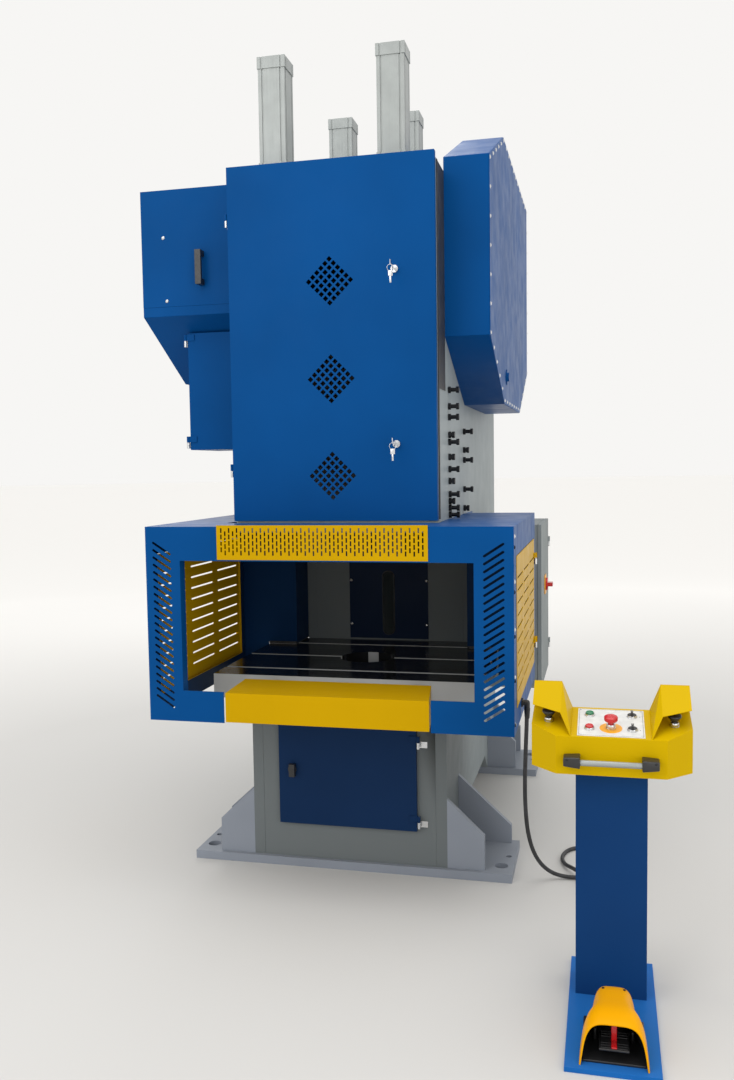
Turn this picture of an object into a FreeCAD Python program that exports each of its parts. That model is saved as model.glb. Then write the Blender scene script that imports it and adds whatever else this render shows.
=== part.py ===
"""Gap-frame mechanical stamping press with its two-hand control stand, in millimetres.

Row frame: the origin lies on the floor at the centre of the foundation-bolt rectangle,
+X is the press's right as the operator faces it, +Y runs to the rear and +Z is up.
Each function below makes one sub-part, and main() writes one STEP file for each.
"""
import FreeCAD
import Part
import math
import os

V = FreeCAD.Vector
X_AXIS = V(1, 0, 0)
Y_AXIS = V(0, 1, 0)
Z_AXIS = V(0, 0, 1)

# ---------------------------------------------------------------- clearances
RUNNING_FIT = 0.05        # radial gap of a shaft, pin or rod in its hole
SLIDING_FIT = 0.05        # gap of the ram's ways in their gibs
SEAT_GAP = 0.3            # gap between pieces of different bodies that only lie close
EDGE_GAP = 2.0            # gap round a door or hatch

# ---------------------------------------------------------------- frame weldment
BOLT_SPACING_X = 1240.0   # foundation bolts
BOLT_SPACING_Y = 1596.0
BOLT_HOLE_R = 27.5
LEVEL_HOLE_R = 12.0
FOOT_T = 35.0
FOOT_HALF_X = 670.0
FOOT_DEPTH = 374.0
FOOT_OVERHANG = 87.0      # foot edge beyond its bolt holes
FRAME_HALF_X = 410.0      # outer faces of the side plates
SIDE_T = 45.0
PEDESTAL_Y = -865.0       # front of the pedestal
HEAD_Y = -990.0           # front of the head
THROAT_Y = -35.0          # back of the throat
REAR_Y = 935.0
BED_TOP = 714.0
THROAT_TOP = 1400.0
FRAME_TOP = 2800.0
THROAT_R = 60.0
ARCH_RISE = 90.0
WALL_T = 30.0

# ---------------------------------------------------------------- die area
RAM_Y = -493.0            # ram and bolster centre line
BOLSTER_X = 1096.0
BOLSTER_Y = 890.0
BOLSTER_T = 100.0
BOLSTER_HOLE_R = 120.0
T_PITCH = 300.0
T_NECK = 22.0
T_NECK_H = 20.0
T_FOOT = 37.0
T_FOOT_H = 16.0

# ---------------------------------------------------------------- drive line
CRANK_Z = 2350.0
CRANK_R = 85.0            # main journals
CRANK_THROW = 40.0        # half of the 80 mm stroke
PIN_R = 75.0
PIN_HALF = 80.0
WEB_R = 140.0
WEB_T = 40.0
BUSH_WALL = 20.0
GEAR_MODULE = 10.0
GEAR_TEETH = 78
PINION_TEETH = 15
GEAR_ADDENDUM = 0.8       # of the module: stub teeth
GEAR_DEDENDUM = 1.05
GEAR_BACKLASH = 0.6       # taken off each tooth at the pitch circle
PRESSURE_ANGLE = math.radians(20.0)
GEAR_LINE = math.radians(18.0)      # line of centres above the horizontal
GEAR_X = -330.0
GEAR_FACE = 80.0
PINION_EXTRA = 5.0
DRIVE_R = 45.0
FLYWHEEL_R = 500.0
FLYWHEEL_GAP = 24.0       # from the side plate
FLYWHEEL_X = FRAME_HALF_X + FLYWHEEL_GAP
FLYWHEEL_FACE = 134.0
RIM_T = 75.0
BELT_COUNT = 4
BELT_PITCH = 26.0
BELT_W = 14.0
BELT_T = 14.0
BELT_SINK = 16.0          # groove floor below the rim
PULLEY_R = 92.0
MOTOR_Y = 735.0
MOTOR_Z = 2620.0
MOTOR_R = 125.0
MOTOR_LENGTH = 330.0
MOTOR_SHAFT_R = 19.0
MOTOR_BASE = 140.0        # shaft height above the motor's feet

# ---------------------------------------------------------------- ram and connecting rod
RAM_HALF_X = 220.0
RAM_HALF_Y = 250.0
RAM_BOTTOM = 1285.0       # at top dead centre
RAM_TOP = 2090.0
EAR_Z = (1530.0, 1930.0)
EAR_FRONT = -690.0
EAR_REAR = -365.0
EAR_GAP = 3.0             # ram ears to side plates
GIB_BOTTOM = 1425.0
GIB_TOPS = (1985.0, 1950.0)   # front and rear bars, below the bull gear
GIB_DEPTH = 100.0
WELL_R = 112.0
BALL_R = 62.0
BALL_Z = 1800.0
BALL_FLOOR_GAP = 10.0
ROD_SHANK_R = 60.0
BIG_END_R = 130.0
ROD_END_Z = 2040.0
SCREW_R = 40.0
SHANK_R = 25.0
SHANK_DEPTH = 85.0
CLAMP_HALF_X = 110.0
CLAMP_H = 95.0

# ---------------------------------------------------------------- counterbalance cylinders
CYL_SQUARE = 113.0
CYL_HEIGHT = 445.0        # caps included
CYL_TOP = FRAME_TOP + CYL_HEIGHT
CYL_CAP = 45.0
CYL_BORE_R = 48.0
CYL_ROD_R = 16.0
CYL_FRONT = (235.5, -910.0)
CYL_REAR = (155.0, -175.0)
BEAM_T = 25.0

# ---------------------------------------------------------------- covers and doors
SHEET = 3.0
FLYWHEEL_COVER_DEPTH = 180.0
FLYWHEEL_COVER_X = (FRAME_HALF_X, FRAME_HALF_X + FLYWHEEL_COVER_DEPTH)
FLYWHEEL_COVER = [(-815, 2163), (-815, 2852), (-265, 3083), (1031, 3083),
                  (1031, 2167), (532, 1926), (-265, 1926)]
COVER_FLANGE = 30.0
SCREW_PITCH = 118.0
DOME_R = 8.0
DOME_H = 4.5
BRAKE_BOX_DEPTH = 463.0
BRAKE_BOX_X = (-FRAME_HALF_X - BRAKE_BOX_DEPTH, -FRAME_HALF_X)
BRAKE_BOX = [(-815, 2299), (-815, 2818), (360, 2818), (360, 2052), (-402, 2052)]
HATCH_Z = 2338.0
HATCH_DEPTH = 20.0
LEFT_CABINET_DEPTH = 302.0
LEFT_CABINET_X = (-FRAME_HALF_X - LEFT_CABINET_DEPTH, -FRAME_HALF_X)
LEFT_CABINET_Y = (-715.0, -420.0)
LEFT_CABINET_Z = 1740.0
LEFT_DOOR_T = 18.0
LEFT_DOOR_X = (LEFT_CABINET_X[0] + 1.5, LEFT_CABINET_X[1] - 58.0)
FRONT_DOOR_HALF_X = FRAME_HALF_X - 1.0
FRONT_DOOR_Y = -1020.0
FRONT_DOOR_LIP = 22.0     # above the crown
FRONT_DOOR_Z = (1448.0, FRAME_TOP + FRONT_DOOR_LIP)
VENT_Z = (1623.0, 1995.0, 2366.0)
VENT_PITCH = 23.3
VENT_HOLE = 15.5
VENT_CELLS = 6
LOCK_X = 255.0
LOCK_Z = (1741.0, 2395.0)
LOCK_R = 11.0
PEDESTAL_DOOR_HALF_X = 290.0
PEDESTAL_DOOR_Z = (183.0, 610.0)
LATCH_X = -232.0
LATCH_Z = 412.0
CABINET_DEPTH = 303.0
CABINET_X = (FRAME_HALF_X + 2.0, FRAME_HALF_X + 2.0 + CABINET_DEPTH)
CABINET_Y = (-38.0, 535.0)
CABINET_Z = (600.0, 1375.0)
CABINET_DOOR_T = 18.0
SWITCH_Y = 235.0
SWITCH_Z = 1065.0
SWITCH_SQUARE = 92.0

# ---------------------------------------------------------------- guard
GUARD_REACH = (267.0, 307.0)   # beyond the side plates, left and right
GUARD_X = (-FRAME_HALF_X - GUARD_REACH[0], FRAME_HALF_X + GUARD_REACH[1])
GUARD_Y = (-1265.0, -225.0)
GUARD_Z = (696.0, 1441.0)
WINDOW_X = (-538.0, 576.0)
WINDOW_Z = (815.0, 1312.0)
TRAY_X = (-368.0, 412.0)
TRAY_Z = (700.0, 812.0)
TRAY_DEPTH = 165.0
TRAY_RISE = 22.0          # rise of the sill's top to its rear edge
PANEL_X = (-386.0, 414.0)
PANEL_Z = (1317.0, 1446.0)
PANEL_COLUMNS = 50
PANEL_ROWS = 4
SIDE_DOOR_Y = (-1170.0, -290.0)
SIDE_DOOR_Z = (775.0, 1330.0)
SIDE_DOOR_T = 12.0
SIDE_SLOT_ROWS = 10
SIDE_SLOT_COLUMNS = 3
PILLAR_SLOTS = 22

# ---------------------------------------------------------------- control stand
STAND_X = 1046.5
STAND_COLUMN = (213.0, 150.0)
STAND_COLUMN_Y = -1692.0
STAND_BASE_X = (920.0, 1180.0)
STAND_BASE_Y = (-2085.0, -1455.0)
STAND_BASE_T = 14.0
CONSOLE_X = 1044.0
CONSOLE_FRONT_HALF = 158.0
CONSOLE_HALF = 233.0
CONSOLE_CHAMFER = 75.0
CONSOLE_Y = -1815.0
CONSOLE_DEPTH = 195.0
CONSOLE_Z = (745.0, 858.0)
CONSOLE_TILT = 12.0
CONSOLE_SHEET = 2.5
LEGEND_HALF_X = 97.0
LEGEND_V = (8.0, 187.0)
LEGEND_T = 1.5
BUTTON_ROWS = (55.0, 143.0)
BUTTON_U = 62.0
BUTTON_R = 14.0
BUTTON_STEM_R = 8.0
STOP_V = 62.0
PALM_U = 182.0
PALM_V = 96.0
HOOD_OUTER_U = 230.0
HOOD_INNER_U = (114.0, 146.0)
HOOD_TOP_W = 88.0
HOOD_FRONT_W = 46.0
HOOD_FRONT_V = (62.0, 92.0)
HANDLE_HALF = 135.0
HANDLE_RISE = 46.0        # above the console's lower edge
HANDLE_R = 8.5
PEDAL_X = 1053.5
PEDAL_HALF = 94.0
PEDAL_Y = (-2068.0, -1820.0)

# ---------------------------------------------------------------- cable
CABLE_R = 8.0
GLAND_Y = -965.0
GLAND_Z = 750.0
GLAND_REACH = 21.0
STAND_GLAND_Z = 60.0
CABLE_ROUTE = [(738, -965, 728), (735.5, -965, 645), (731, -964, 540), (728, -960, 432),
               (729, -947, 322), (737, -922, 216), (758, -882, 124), (794, -836, 54),
               (847, -803, 14), (927, -798, 9), (1012, -765, 9), (1082, -690, 9),
               (1098, -590, 9), (1052, -500, 9), (962, -458, 9), (882, -492, 9),
               (850, -580, 9), (864, -675, 12), (905, -752, 28), (950, -836, 37),
               (982, -935, 12), (1002, -1042, 9), (1024, -1152, 9), (1042, -1262, 9),
               (1049, -1352, 22), (1048, -1436, 54), (1046.5, -1511, 60)]


# ================================================================ general shapes
def box(x, y, z):
    """Block between pairs of limits."""
    return Part.makeBox(x[1] - x[0], y[1] - y[0], z[1] - z[0], V(x[0], y[0], z[0]))


def cylinder(radius, start, direction, length):
    """Round bar from a start point along a direction."""
    return Part.makeCylinder(radius, length, V(*start), direction)


def tube(outer, inner, start, direction, length):
    """Ring or sleeve."""
    return cylinder(outer, start, direction, length).cut(cylinder(inner, start, direction, length))


def hexagon(across_flats, start, direction, length):
    """Hexagonal bar, for nuts and bolt heads."""
    radius = across_flats / math.sqrt(3.0)
    bar = Part.Face(Part.makePolygon([V(radius * math.cos(math.radians(60 * k)),
                                        radius * math.sin(math.radians(60 * k)), 0)
                                      for k in range(7)])).extrude(V(0, 0, length))
    bar.Placement = FreeCAD.Placement(V(*start), FreeCAD.Rotation(Z_AXIS, direction))
    return bar


def fuse(shapes):
    """One solid from touching shapes."""
    first, rest = shapes[0], shapes[1:]
    return first.fuse(rest).removeSplitter() if rest else first


def group(shapes):
    """Several separate solids kept in one node."""
    return Part.makeCompound(shapes)


def mirrored_x(shape, centre=0.0):
    """Copy on the other side of a plane at constant X."""
    return shape.mirror(V(centre, 0, 0), X_AXIS)


def outline_points(points, plane):
    """Lift 2-D points to 3-D: plane is yz, xz or xy."""
    lift = {"yz": lambda a, b: V(0, a, b), "xz": lambda a, b: V(a, 0, b),
            "xy": lambda a, b: V(a, b, 0)}[plane]
    return [lift(a, b) for a, b in points]


def prism(points, plane, start, stop):
    """Straight-sided outline given its thickness between two stations."""
    corners = outline_points(points, plane)
    normal = {"yz": X_AXIS, "xz": Y_AXIS, "xy": Z_AXIS}[plane]
    face = Part.Face(Part.makePolygon(corners + corners[:1]))
    solid = face.extrude(normal * (stop - start))
    solid.translate(normal * start)
    return solid


def inset(points, distance):
    """Outline moved inwards by a wall thickness."""
    flat = outline_points(points, "xy")
    wire = Part.makePolygon(flat + flat[:1])
    moved = wire.makeOffset2D(-distance)
    if moved.BoundBox.DiagonalLength > wire.BoundBox.DiagonalLength:
        moved = wire.makeOffset2D(distance)
    return [(v.Point.x, v.Point.y) for v in moved.OrderedVertexes]


def slot_cutter(length, width, depth, centre, angle, plane_normal):
    """Round-ended slot, long side turned by an angle, cut along a normal."""
    half = length / 2.0 - width / 2.0
    bar = Part.makeBox(2 * half, width, depth, V(-half, -width / 2.0, -depth / 2.0))
    ends = [Part.makeCylinder(width / 2.0, depth, V(s * half, 0, -depth / 2.0)) for s in (-1, 1)]
    cutter = bar.fuse(ends)
    cutter.rotate(V(0, 0, 0), Z_AXIS, angle)
    if plane_normal == "y":
        cutter.rotate(V(0, 0, 0), X_AXIS, 90)
    if plane_normal == "x":
        cutter.rotate(V(0, 0, 0), X_AXIS, 90)
        cutter.rotate(V(0, 0, 0), Z_AXIS, 90)
    cutter.translate(V(*centre))
    return cutter


def pan(x, y_front, depth, z, sheet):
    """Door leaf folded from sheet: a front face with returned edges, open at the back."""
    outer = box(x, (y_front, y_front + depth), z)
    hollow = box((x[0] + sheet, x[1] - sheet), (y_front + sheet, y_front + depth + sheet),
                 (z[0] + sheet, z[1] - sheet))
    return outer.cut(hollow)


def lift_off_hinge(x, y, z, fixed_leaf, moving_leaf):
    """Lower half with the pin, and upper half with the eye, turning about a vertical axis.

    A leaf is a pair of plan limits, (x0, x1), (y0, y1), that reaches the knuckle.
    """
    half, knuckle, pin = 26.0, 6.5, 3.5
    low, high = (z - half, z - SEAT_GAP / 2.0), (z + SEAT_GAP / 2.0, z + half)
    fixed = fuse([cylinder(knuckle, (x, y, low[0]), Z_AXIS, low[1] - low[0]),
                  cylinder(pin, (x, y, low[0]), Z_AXIS, 2 * half),
                  box(fixed_leaf[0], fixed_leaf[1], low)])
    moving = fuse([cylinder(knuckle, (x, y, high[0]), Z_AXIS, high[1] - high[0]),
                   box(moving_leaf[0], moving_leaf[1], high)])
    moving = moving.cut(cylinder(pin + RUNNING_FIT, (x, y, low[0]), Z_AXIS, 3 * half))
    return fixed, moving


# ================================================================ frame
FRONT_BOLT_Y = -BOLT_SPACING_Y / 2.0
REAR_BOLT_Y = BOLT_SPACING_Y / 2.0
INNER_X = FRAME_HALF_X - SIDE_T
FOOT_FRONT_Y = FRONT_BOLT_Y - FOOT_OVERHANG
FOOT_REAR_Y = REAR_BOLT_Y + FOOT_OVERHANG
GEAR_CENTRES = GEAR_MODULE * (GEAR_TEETH + PINION_TEETH) / 2.0
DRIVE_Y = RAM_Y + GEAR_CENTRES * math.cos(GEAR_LINE)
DRIVE_Z = CRANK_Z + GEAR_CENTRES * math.sin(GEAR_LINE)
BUSH_R = CRANK_R + BUSH_WALL
DRIVE_BUSH_R = DRIVE_R + BUSH_WALL
BOLSTER_TOP = BED_TOP + BOLSTER_T
MOTOR_SHELF_TOP = MOTOR_Z - MOTOR_BASE

GIB_SCREW_R = 8.0
LONG_SCREWS = ((EAR_FRONT - GIB_DEPTH / 2.0, (1458, 1486, 1541, 1642, 1751, 1851, 1894, 1960)),
               (EAR_REAR + GIB_DEPTH / 2.0, (1551, 1681, 1807)))
SHORT_SCREWS = ((EAR_FRONT - GIB_DEPTH / 2.0, (1513, 1594, 1691, 1780)),
                (EAR_REAR + GIB_DEPTH / 2.0, (1467, 1725)))


def gib_screw_places():
    """Height, depth and free length of each gib screw on one side."""
    for rows, reach in ((LONG_SCREWS, 44.0), (SHORT_SCREWS, 26.0)):
        for y, heights in rows:
            for z in heights:
                yield y, z, reach


def side_plates():
    """Two C-shaped side plates, bored for the shafts and drilled for the gib screws."""
    outline = [(PEDESTAL_Y, FOOT_T), (PEDESTAL_Y, BED_TOP), (THROAT_Y, BED_TOP),
               (THROAT_Y, THROAT_TOP), (HEAD_Y, THROAT_TOP), (HEAD_Y, FRAME_TOP),
               (REAR_Y, FRAME_TOP), (REAR_Y, FOOT_T), (FOOT_REAR_Y - FOOT_DEPTH, FOOT_T),
               (FOOT_REAR_Y - FOOT_DEPTH - ARCH_RISE, FOOT_T + ARCH_RISE),
               (FOOT_FRONT_Y + FOOT_DEPTH + ARCH_RISE, FOOT_T + ARCH_RISE),
               (FOOT_FRONT_Y + FOOT_DEPTH, FOOT_T)]
    plate = prism(outline, "yz", INNER_X, FRAME_HALF_X)
    corners = [e for e in plate.Edges if e.Length > SIDE_T - 1 and e.Length < SIDE_T + 1
               and abs(e.CenterOfMass.y - THROAT_Y) < 1 and e.CenterOfMass.z > BOLSTER_TOP]
    plate = plate.makeFillet(THROAT_R, corners)
    bores = [cylinder(BUSH_R, (INNER_X - 1, RAM_Y, CRANK_Z), X_AXIS, SIDE_T + 2),
             cylinder(DRIVE_BUSH_R, (INNER_X - 1, DRIVE_Y, DRIVE_Z), X_AXIS, SIDE_T + 2)]
    bores += [cylinder(GIB_SCREW_R + RUNNING_FIT, (INNER_X - 1, y, z), X_AXIS, SIDE_T + 2)
              for y, z, _ in gib_screw_places()]
    right = plate.cut(bores)
    left = mirrored_x(right)
    right = right.cut(cylinder(2 * MOTOR_SHAFT_R, (INNER_X - 1, MOTOR_Y, MOTOR_Z), X_AXIS, SIDE_T + 2))
    return group([left, right])


def cross_plates():
    """Plates welded between the side plates: bed, walls, crown and motor shelf."""
    width = (-INNER_X, INNER_X)
    bed = box(width, (PEDESTAL_Y, THROAT_Y), (BED_TOP - 50, BED_TOP))
    bed = bed.cut(cylinder(BOLSTER_HOLE_R, (0, RAM_Y, BED_TOP - 60), Z_AXIS, 70))
    pedestal = box(width, (PEDESTAL_Y, PEDESTAL_Y + WALL_T), (FOOT_T, BED_TOP - 50))
    pedestal = pedestal.cut(box((-PEDESTAL_DOOR_HALF_X + 30, PEDESTAL_DOOR_HALF_X - 30),
                                (PEDESTAL_Y - 1, PEDESTAL_Y + WALL_T + 1),
                                (PEDESTAL_DOOR_Z[0] + 30, PEDESTAL_DOOR_Z[1] - 30)))
    throat = box(width, (THROAT_Y, THROAT_Y + WALL_T), (FOOT_T + ARCH_RISE, 1850))
    throat = throat.cut(box((-150, 150), (THROAT_Y - 1, THROAT_Y + WALL_T + 1), (835, 1160)))
    rear = box(width, (REAR_Y - WALL_T, REAR_Y), (FOOT_T, FRAME_TOP - WALL_T))
    rear = rear.cut(box((-140, 140), (REAR_Y - WALL_T - 1, REAR_Y + 1), (1000, 1280)))
    crown = box(width, (HEAD_Y, REAR_Y), (FRAME_TOP - WALL_T, FRAME_TOP))
    crown = crown.cut([cylinder(CYL_ROD_R + 1, (s * x, y, FRAME_TOP - WALL_T - 1), Z_AXIS, WALL_T + 2)
                       for x, y in (CYL_FRONT, CYL_REAR) for s in (-1, 1)])
    brow = box(width, (HEAD_Y, HEAD_Y + 25), (FRAME_TOP - 160, FRAME_TOP - WALL_T))
    chin = box(width, (HEAD_Y, HEAD_Y + 25), (THROAT_TOP, THROAT_TOP + 100))
    shelf = box(width, (MOTOR_Y - 160, REAR_Y - WALL_T), (MOTOR_SHELF_TOP - 25, MOTOR_SHELF_TOP))
    return group([bed, pedestal, throat, rear, crown, brow, chin, shelf])


def foot(front):
    """Base plate with four wings that stiffen the side plates; the front one is notched below the blanking hole."""
    y0 = FOOT_FRONT_Y if front else FOOT_REAR_Y - FOOT_DEPTH
    bolt_y = FRONT_BOLT_Y if front else REAR_BOLT_Y
    level_y = bolt_y + (103.0 if front else -103.0)
    plate = box((-FOOT_HALF_X, FOOT_HALF_X), (y0, y0 + FOOT_DEPTH), (0, FOOT_T))
    holes = [cylinder(BOLT_HOLE_R, (s * BOLT_SPACING_X / 2.0, bolt_y, -1), Z_AXIS, FOOT_T + 2)
             for s in (-1, 1)]
    holes += [cylinder(LEVEL_HOLE_R, (s * (BOLT_SPACING_X / 2.0 + 20), level_y, -1), Z_AXIS, FOOT_T + 2)
              for s in (-1, 1)]
    if front:
        reach = BOLSTER_HOLE_R + 10
        holes.append(box((-reach, reach), (RAM_Y - reach, y0 + FOOT_DEPTH + 1), (-1, FOOT_T + 1)))
    plate = plate.cut(holes)
    tall = [(FRAME_HALF_X, FOOT_T), (FRAME_HALF_X, 317), (FRAME_HALF_X + 150, 176),
            (FRAME_HALF_X + 150, FOOT_T)]
    low = [(FRAME_HALF_X, FOOT_T), (FRAME_HALF_X, 320), (FRAME_HALF_X + 228, 112),
           (FRAME_HALF_X + 228, FOOT_T)]
    stations = ((PEDESTAL_Y, tall), (y0 + FOOT_DEPTH - 35, low)) if front else (
        (y0 + 25, tall), (y0 + FOOT_DEPTH - 35, tall))
    wings = [prism(points, "xz", y, y + 25) for y, points in stations]
    wings += [mirrored_x(wing) for wing in wings]
    return [plate] + wings


def foot_plates():
    """Front and rear feet."""
    return group(foot(True) + foot(False))


def bolster():
    """Bolster plate with three T-slots and a central blanking hole."""
    plate = box((-BOLSTER_X / 2, BOLSTER_X / 2), (RAM_Y - BOLSTER_Y / 2, RAM_Y + BOLSTER_Y / 2),
                (BED_TOP, BOLSTER_TOP))
    cuts = [cylinder(BOLSTER_HOLE_R, (0, RAM_Y, BED_TOP - 1), Z_AXIS, BOLSTER_T + 2)]
    for k in (-1, 0, 1):
        y = RAM_Y + k * T_PITCH
        long = (-BOLSTER_X / 2 - 1, BOLSTER_X / 2 + 1)
        cuts.append(box(long, (y - T_NECK / 2, y + T_NECK / 2), (BOLSTER_TOP - T_NECK_H - 1, BOLSTER_TOP + 1)))
        cuts.append(box(long, (y - T_FOOT / 2, y + T_FOOT / 2),
                        (BOLSTER_TOP - T_NECK_H - T_FOOT_H, BOLSTER_TOP - T_NECK_H)))
    return plate.cut(cuts)


def throat_panel():
    """Sheet panel with a round-ended window, screwed to the back of the throat."""
    y = (THROAT_Y - SHEET, THROAT_Y)
    panel = box((-195, 195), y, (BOLSTER_TOP + 6, THROAT_TOP - 70))
    window = slot_cutter(310, 56, 20, (0, THROAT_Y, 995), 90, "y")
    return panel.cut(window)


def gibs():
    """Four gib bars that guide the ram's ears, fast to the side plates."""
    bars = []
    front = (EAR_FRONT - GIB_DEPTH, EAR_FRONT - SLIDING_FIT)
    rear = (EAR_REAR + SLIDING_FIT, EAR_REAR + GIB_DEPTH)
    for y, top in ((front, GIB_TOPS[0]), (rear, GIB_TOPS[1])):
        bar = box((RAM_HALF_X + 2, INNER_X), y, (GIB_BOTTOM, top))
        bars += [bar, mirrored_x(bar)]
    return group(bars)


def gib_screws():
    """Adjusting screws with lock nuts on both side plates."""
    screws = []
    for y, z, reach in gib_screw_places():
        tip = FRAME_HALF_X + reach
        screw = fuse([cylinder(GIB_SCREW_R, (INNER_X, y, z), X_AXIS, SIDE_T + reach - 1),
                      hexagon(23, (FRAME_HALF_X, y, z), X_AXIS, 11),
                      hexagon(22, (tip - 12, y, z), X_AXIS, 12)])
        screws += [screw, mirrored_x(screw)]
    return group(screws)


def shaft_bushes():
    """Bronze bushes of the crankshaft and the drive shaft."""
    bushes = []
    for radius, y, z in ((CRANK_R, RAM_Y, CRANK_Z), (DRIVE_R, DRIVE_Y, DRIVE_Z)):
        sleeve = tube(radius + BUSH_WALL - 0.02, radius + RUNNING_FIT, (INNER_X - 8, y, z), X_AXIS, SIDE_T + 8)
        flange = tube(radius + BUSH_WALL + 12, radius + RUNNING_FIT, (INNER_X - 8, y, z), X_AXIS, 8)
        bush = fuse([sleeve, flange])
        bushes += [bush, mirrored_x(bush)]
    return group(bushes)


# ================================================================ drive line
def gear_outline(teeth, module, first_tooth):
    """Closed outline of an involute spur gear; angles run from +Y towards +Z."""
    pitch_r = module * teeth / 2.0
    base_r = pitch_r * math.cos(PRESSURE_ANGLE)
    tip_r = pitch_r + GEAR_ADDENDUM * module
    root_r = pitch_r - GEAR_DEDENDUM * module
    start_r = max(base_r, root_r + 0.5)
    involute = lambda r: math.tan(math.acos(base_r / r)) - math.acos(base_r / r)
    half_tooth = math.pi / (2 * teeth) - GEAR_BACKLASH / (2 * pitch_r) + involute(pitch_r)
    stations = [start_r + (tip_r - start_r) * k / 4.0 for k in range(5)]
    points = []
    for tooth in range(teeth):
        centre = first_tooth + 2 * math.pi * tooth / teeth
        rising = [(r, centre - half_tooth + involute(r)) for r in stations]
        falling = [(r, centre + half_tooth - involute(r)) for r in reversed(stations)]
        flank = [(root_r, rising[0][1])] + rising + falling + [(root_r, falling[-1][1])]
        points += [(r * math.cos(a), r * math.sin(a)) for r, a in flank]
    return points


def bull_gear():
    """Bull gear keyed on the crankshaft, a gap facing the pinion."""
    outline = [(RAM_Y + y, CRANK_Z + z) for y, z in
               gear_outline(GEAR_TEETH, GEAR_MODULE, GEAR_LINE + math.pi / GEAR_TEETH)]
    gear = prism(outline, "yz", GEAR_X, GEAR_X + GEAR_FACE)
    rim = GEAR_MODULE * GEAR_TEETH / 2.0 - 50
    hub = CRANK_R + 50
    recess = tube(rim, hub, (0, RAM_Y, CRANK_Z), X_AXIS, 22)
    near, far = recess.copy(), recess.copy()
    near.translate(V(GEAR_X - 0.5, 0, 0))
    far.translate(V(GEAR_X + GEAR_FACE - 21.5, 0, 0))
    cuts = [near, far, cylinder(CRANK_R + RUNNING_FIT, (GEAR_X - 1, RAM_Y, CRANK_Z), X_AXIS, GEAR_FACE + 2)]
    middle = (rim + hub) / 2.0
    for k in range(6):
        angle = math.radians(60 * k + 30)
        cuts.append(cylinder(58, (GEAR_X - 1, RAM_Y + middle * math.cos(angle),
                                  CRANK_Z + middle * math.sin(angle)), X_AXIS, GEAR_FACE + 2))
    return gear.cut(cuts)


def crankshaft():
    """Crankshaft at top dead centre: journals, webs and crank pin."""
    length = FRAME_HALF_X + 4
    journal = cylinder(CRANK_R, (PIN_HALF, RAM_Y, CRANK_Z), X_AXIS, length - PIN_HALF)
    web = cylinder(WEB_R, (PIN_HALF, RAM_Y, CRANK_Z), X_AXIS, WEB_T)
    pin = cylinder(PIN_R, (-PIN_HALF - 1, RAM_Y, CRANK_Z + CRANK_THROW), X_AXIS, 2 * PIN_HALF + 2)
    return fuse([pin, journal, web, mirrored_x(journal), mirrored_x(web)])


def con_rod():
    """Connecting rod with its bearing cap, split through the crank pin."""
    pin_z = CRANK_Z + CRANK_THROW
    half = PIN_HALF - 2
    ring = cylinder(BIG_END_R, (-half, RAM_Y, pin_z), X_AXIS, 2 * half)
    bore = cylinder(PIN_R + RUNNING_FIT, (-half - 1, RAM_Y, pin_z), X_AXIS, 2 * half + 2)
    lugs = box((-half, half), (RAM_Y - BIG_END_R - 18, RAM_Y + BIG_END_R + 18), (pin_z - 45, pin_z + 45))
    shank = cylinder(ROD_SHANK_R, (0, RAM_Y, ROD_END_Z), Z_AXIS, pin_z - ROD_END_Z - PIN_R)
    body = fuse([ring, lugs, shank]).cut(bore)
    thread = cylinder(SCREW_R + RUNNING_FIT, (0, RAM_Y, ROD_END_Z - 1), Z_AXIS, 181)
    above = box((-half - 1, half + 1), (RAM_Y - 300, RAM_Y + 300), (pin_z, pin_z + 300))
    below = box((-half - 1, half + 1), (RAM_Y - 300, RAM_Y + 300), (ROD_END_Z - 5, pin_z))
    return group([body.cut(thread).common(below), body.common(above)])


def ball_screw():
    """Height-adjusting screw with its lock nut and the ball that carries the ram."""
    ball = Part.makeSphere(BALL_R, V(0, RAM_Y, BALL_Z))
    screw = cylinder(SCREW_R, (0, RAM_Y, BALL_Z), Z_AXIS, ROD_END_Z + 170 - BALL_Z)
    nut = hexagon(104, (0, RAM_Y, ROD_END_Z - 40), Z_AXIS, 39)
    return fuse([ball, screw, nut])


def ram():
    """Ram casting: ears for the gibs, a well for the ball and a split shank hole."""
    body = box((-RAM_HALF_X, RAM_HALF_X), (RAM_Y - RAM_HALF_Y, RAM_Y + RAM_HALF_Y), (RAM_BOTTOM, RAM_TOP))
    ear = box((RAM_HALF_X, INNER_X - EAR_GAP), (EAR_FRONT, EAR_REAR), EAR_Z)
    floor = BALL_Z - BALL_R - BALL_FLOOR_GAP
    cuts = [cylinder(WELL_R, (0, RAM_Y, floor), Z_AXIS, RAM_TOP - floor + 1),
            cylinder(SHANK_R, (0, RAM_Y, RAM_BOTTOM - 1), Z_AXIS, SHANK_DEPTH + 1),
            box((-CLAMP_HALF_X, CLAMP_HALF_X), (RAM_Y - RAM_HALF_Y - 1, RAM_Y),
                (RAM_BOTTOM - 1, RAM_BOTTOM + CLAMP_H))]
    core = box((RAM_HALF_X - 85, RAM_HALF_X - 25), (RAM_Y + 40, RAM_Y + RAM_HALF_Y - 30),
               (RAM_BOTTOM + 120, RAM_TOP + 1))
    front_core = core.mirror(V(0, RAM_Y, 0), Y_AXIS)
    cores = [core, front_core, mirrored_x(core), mirrored_x(front_core)]
    return fuse([body, ear, mirrored_x(ear)]).cut(cuts + cores)


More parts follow.
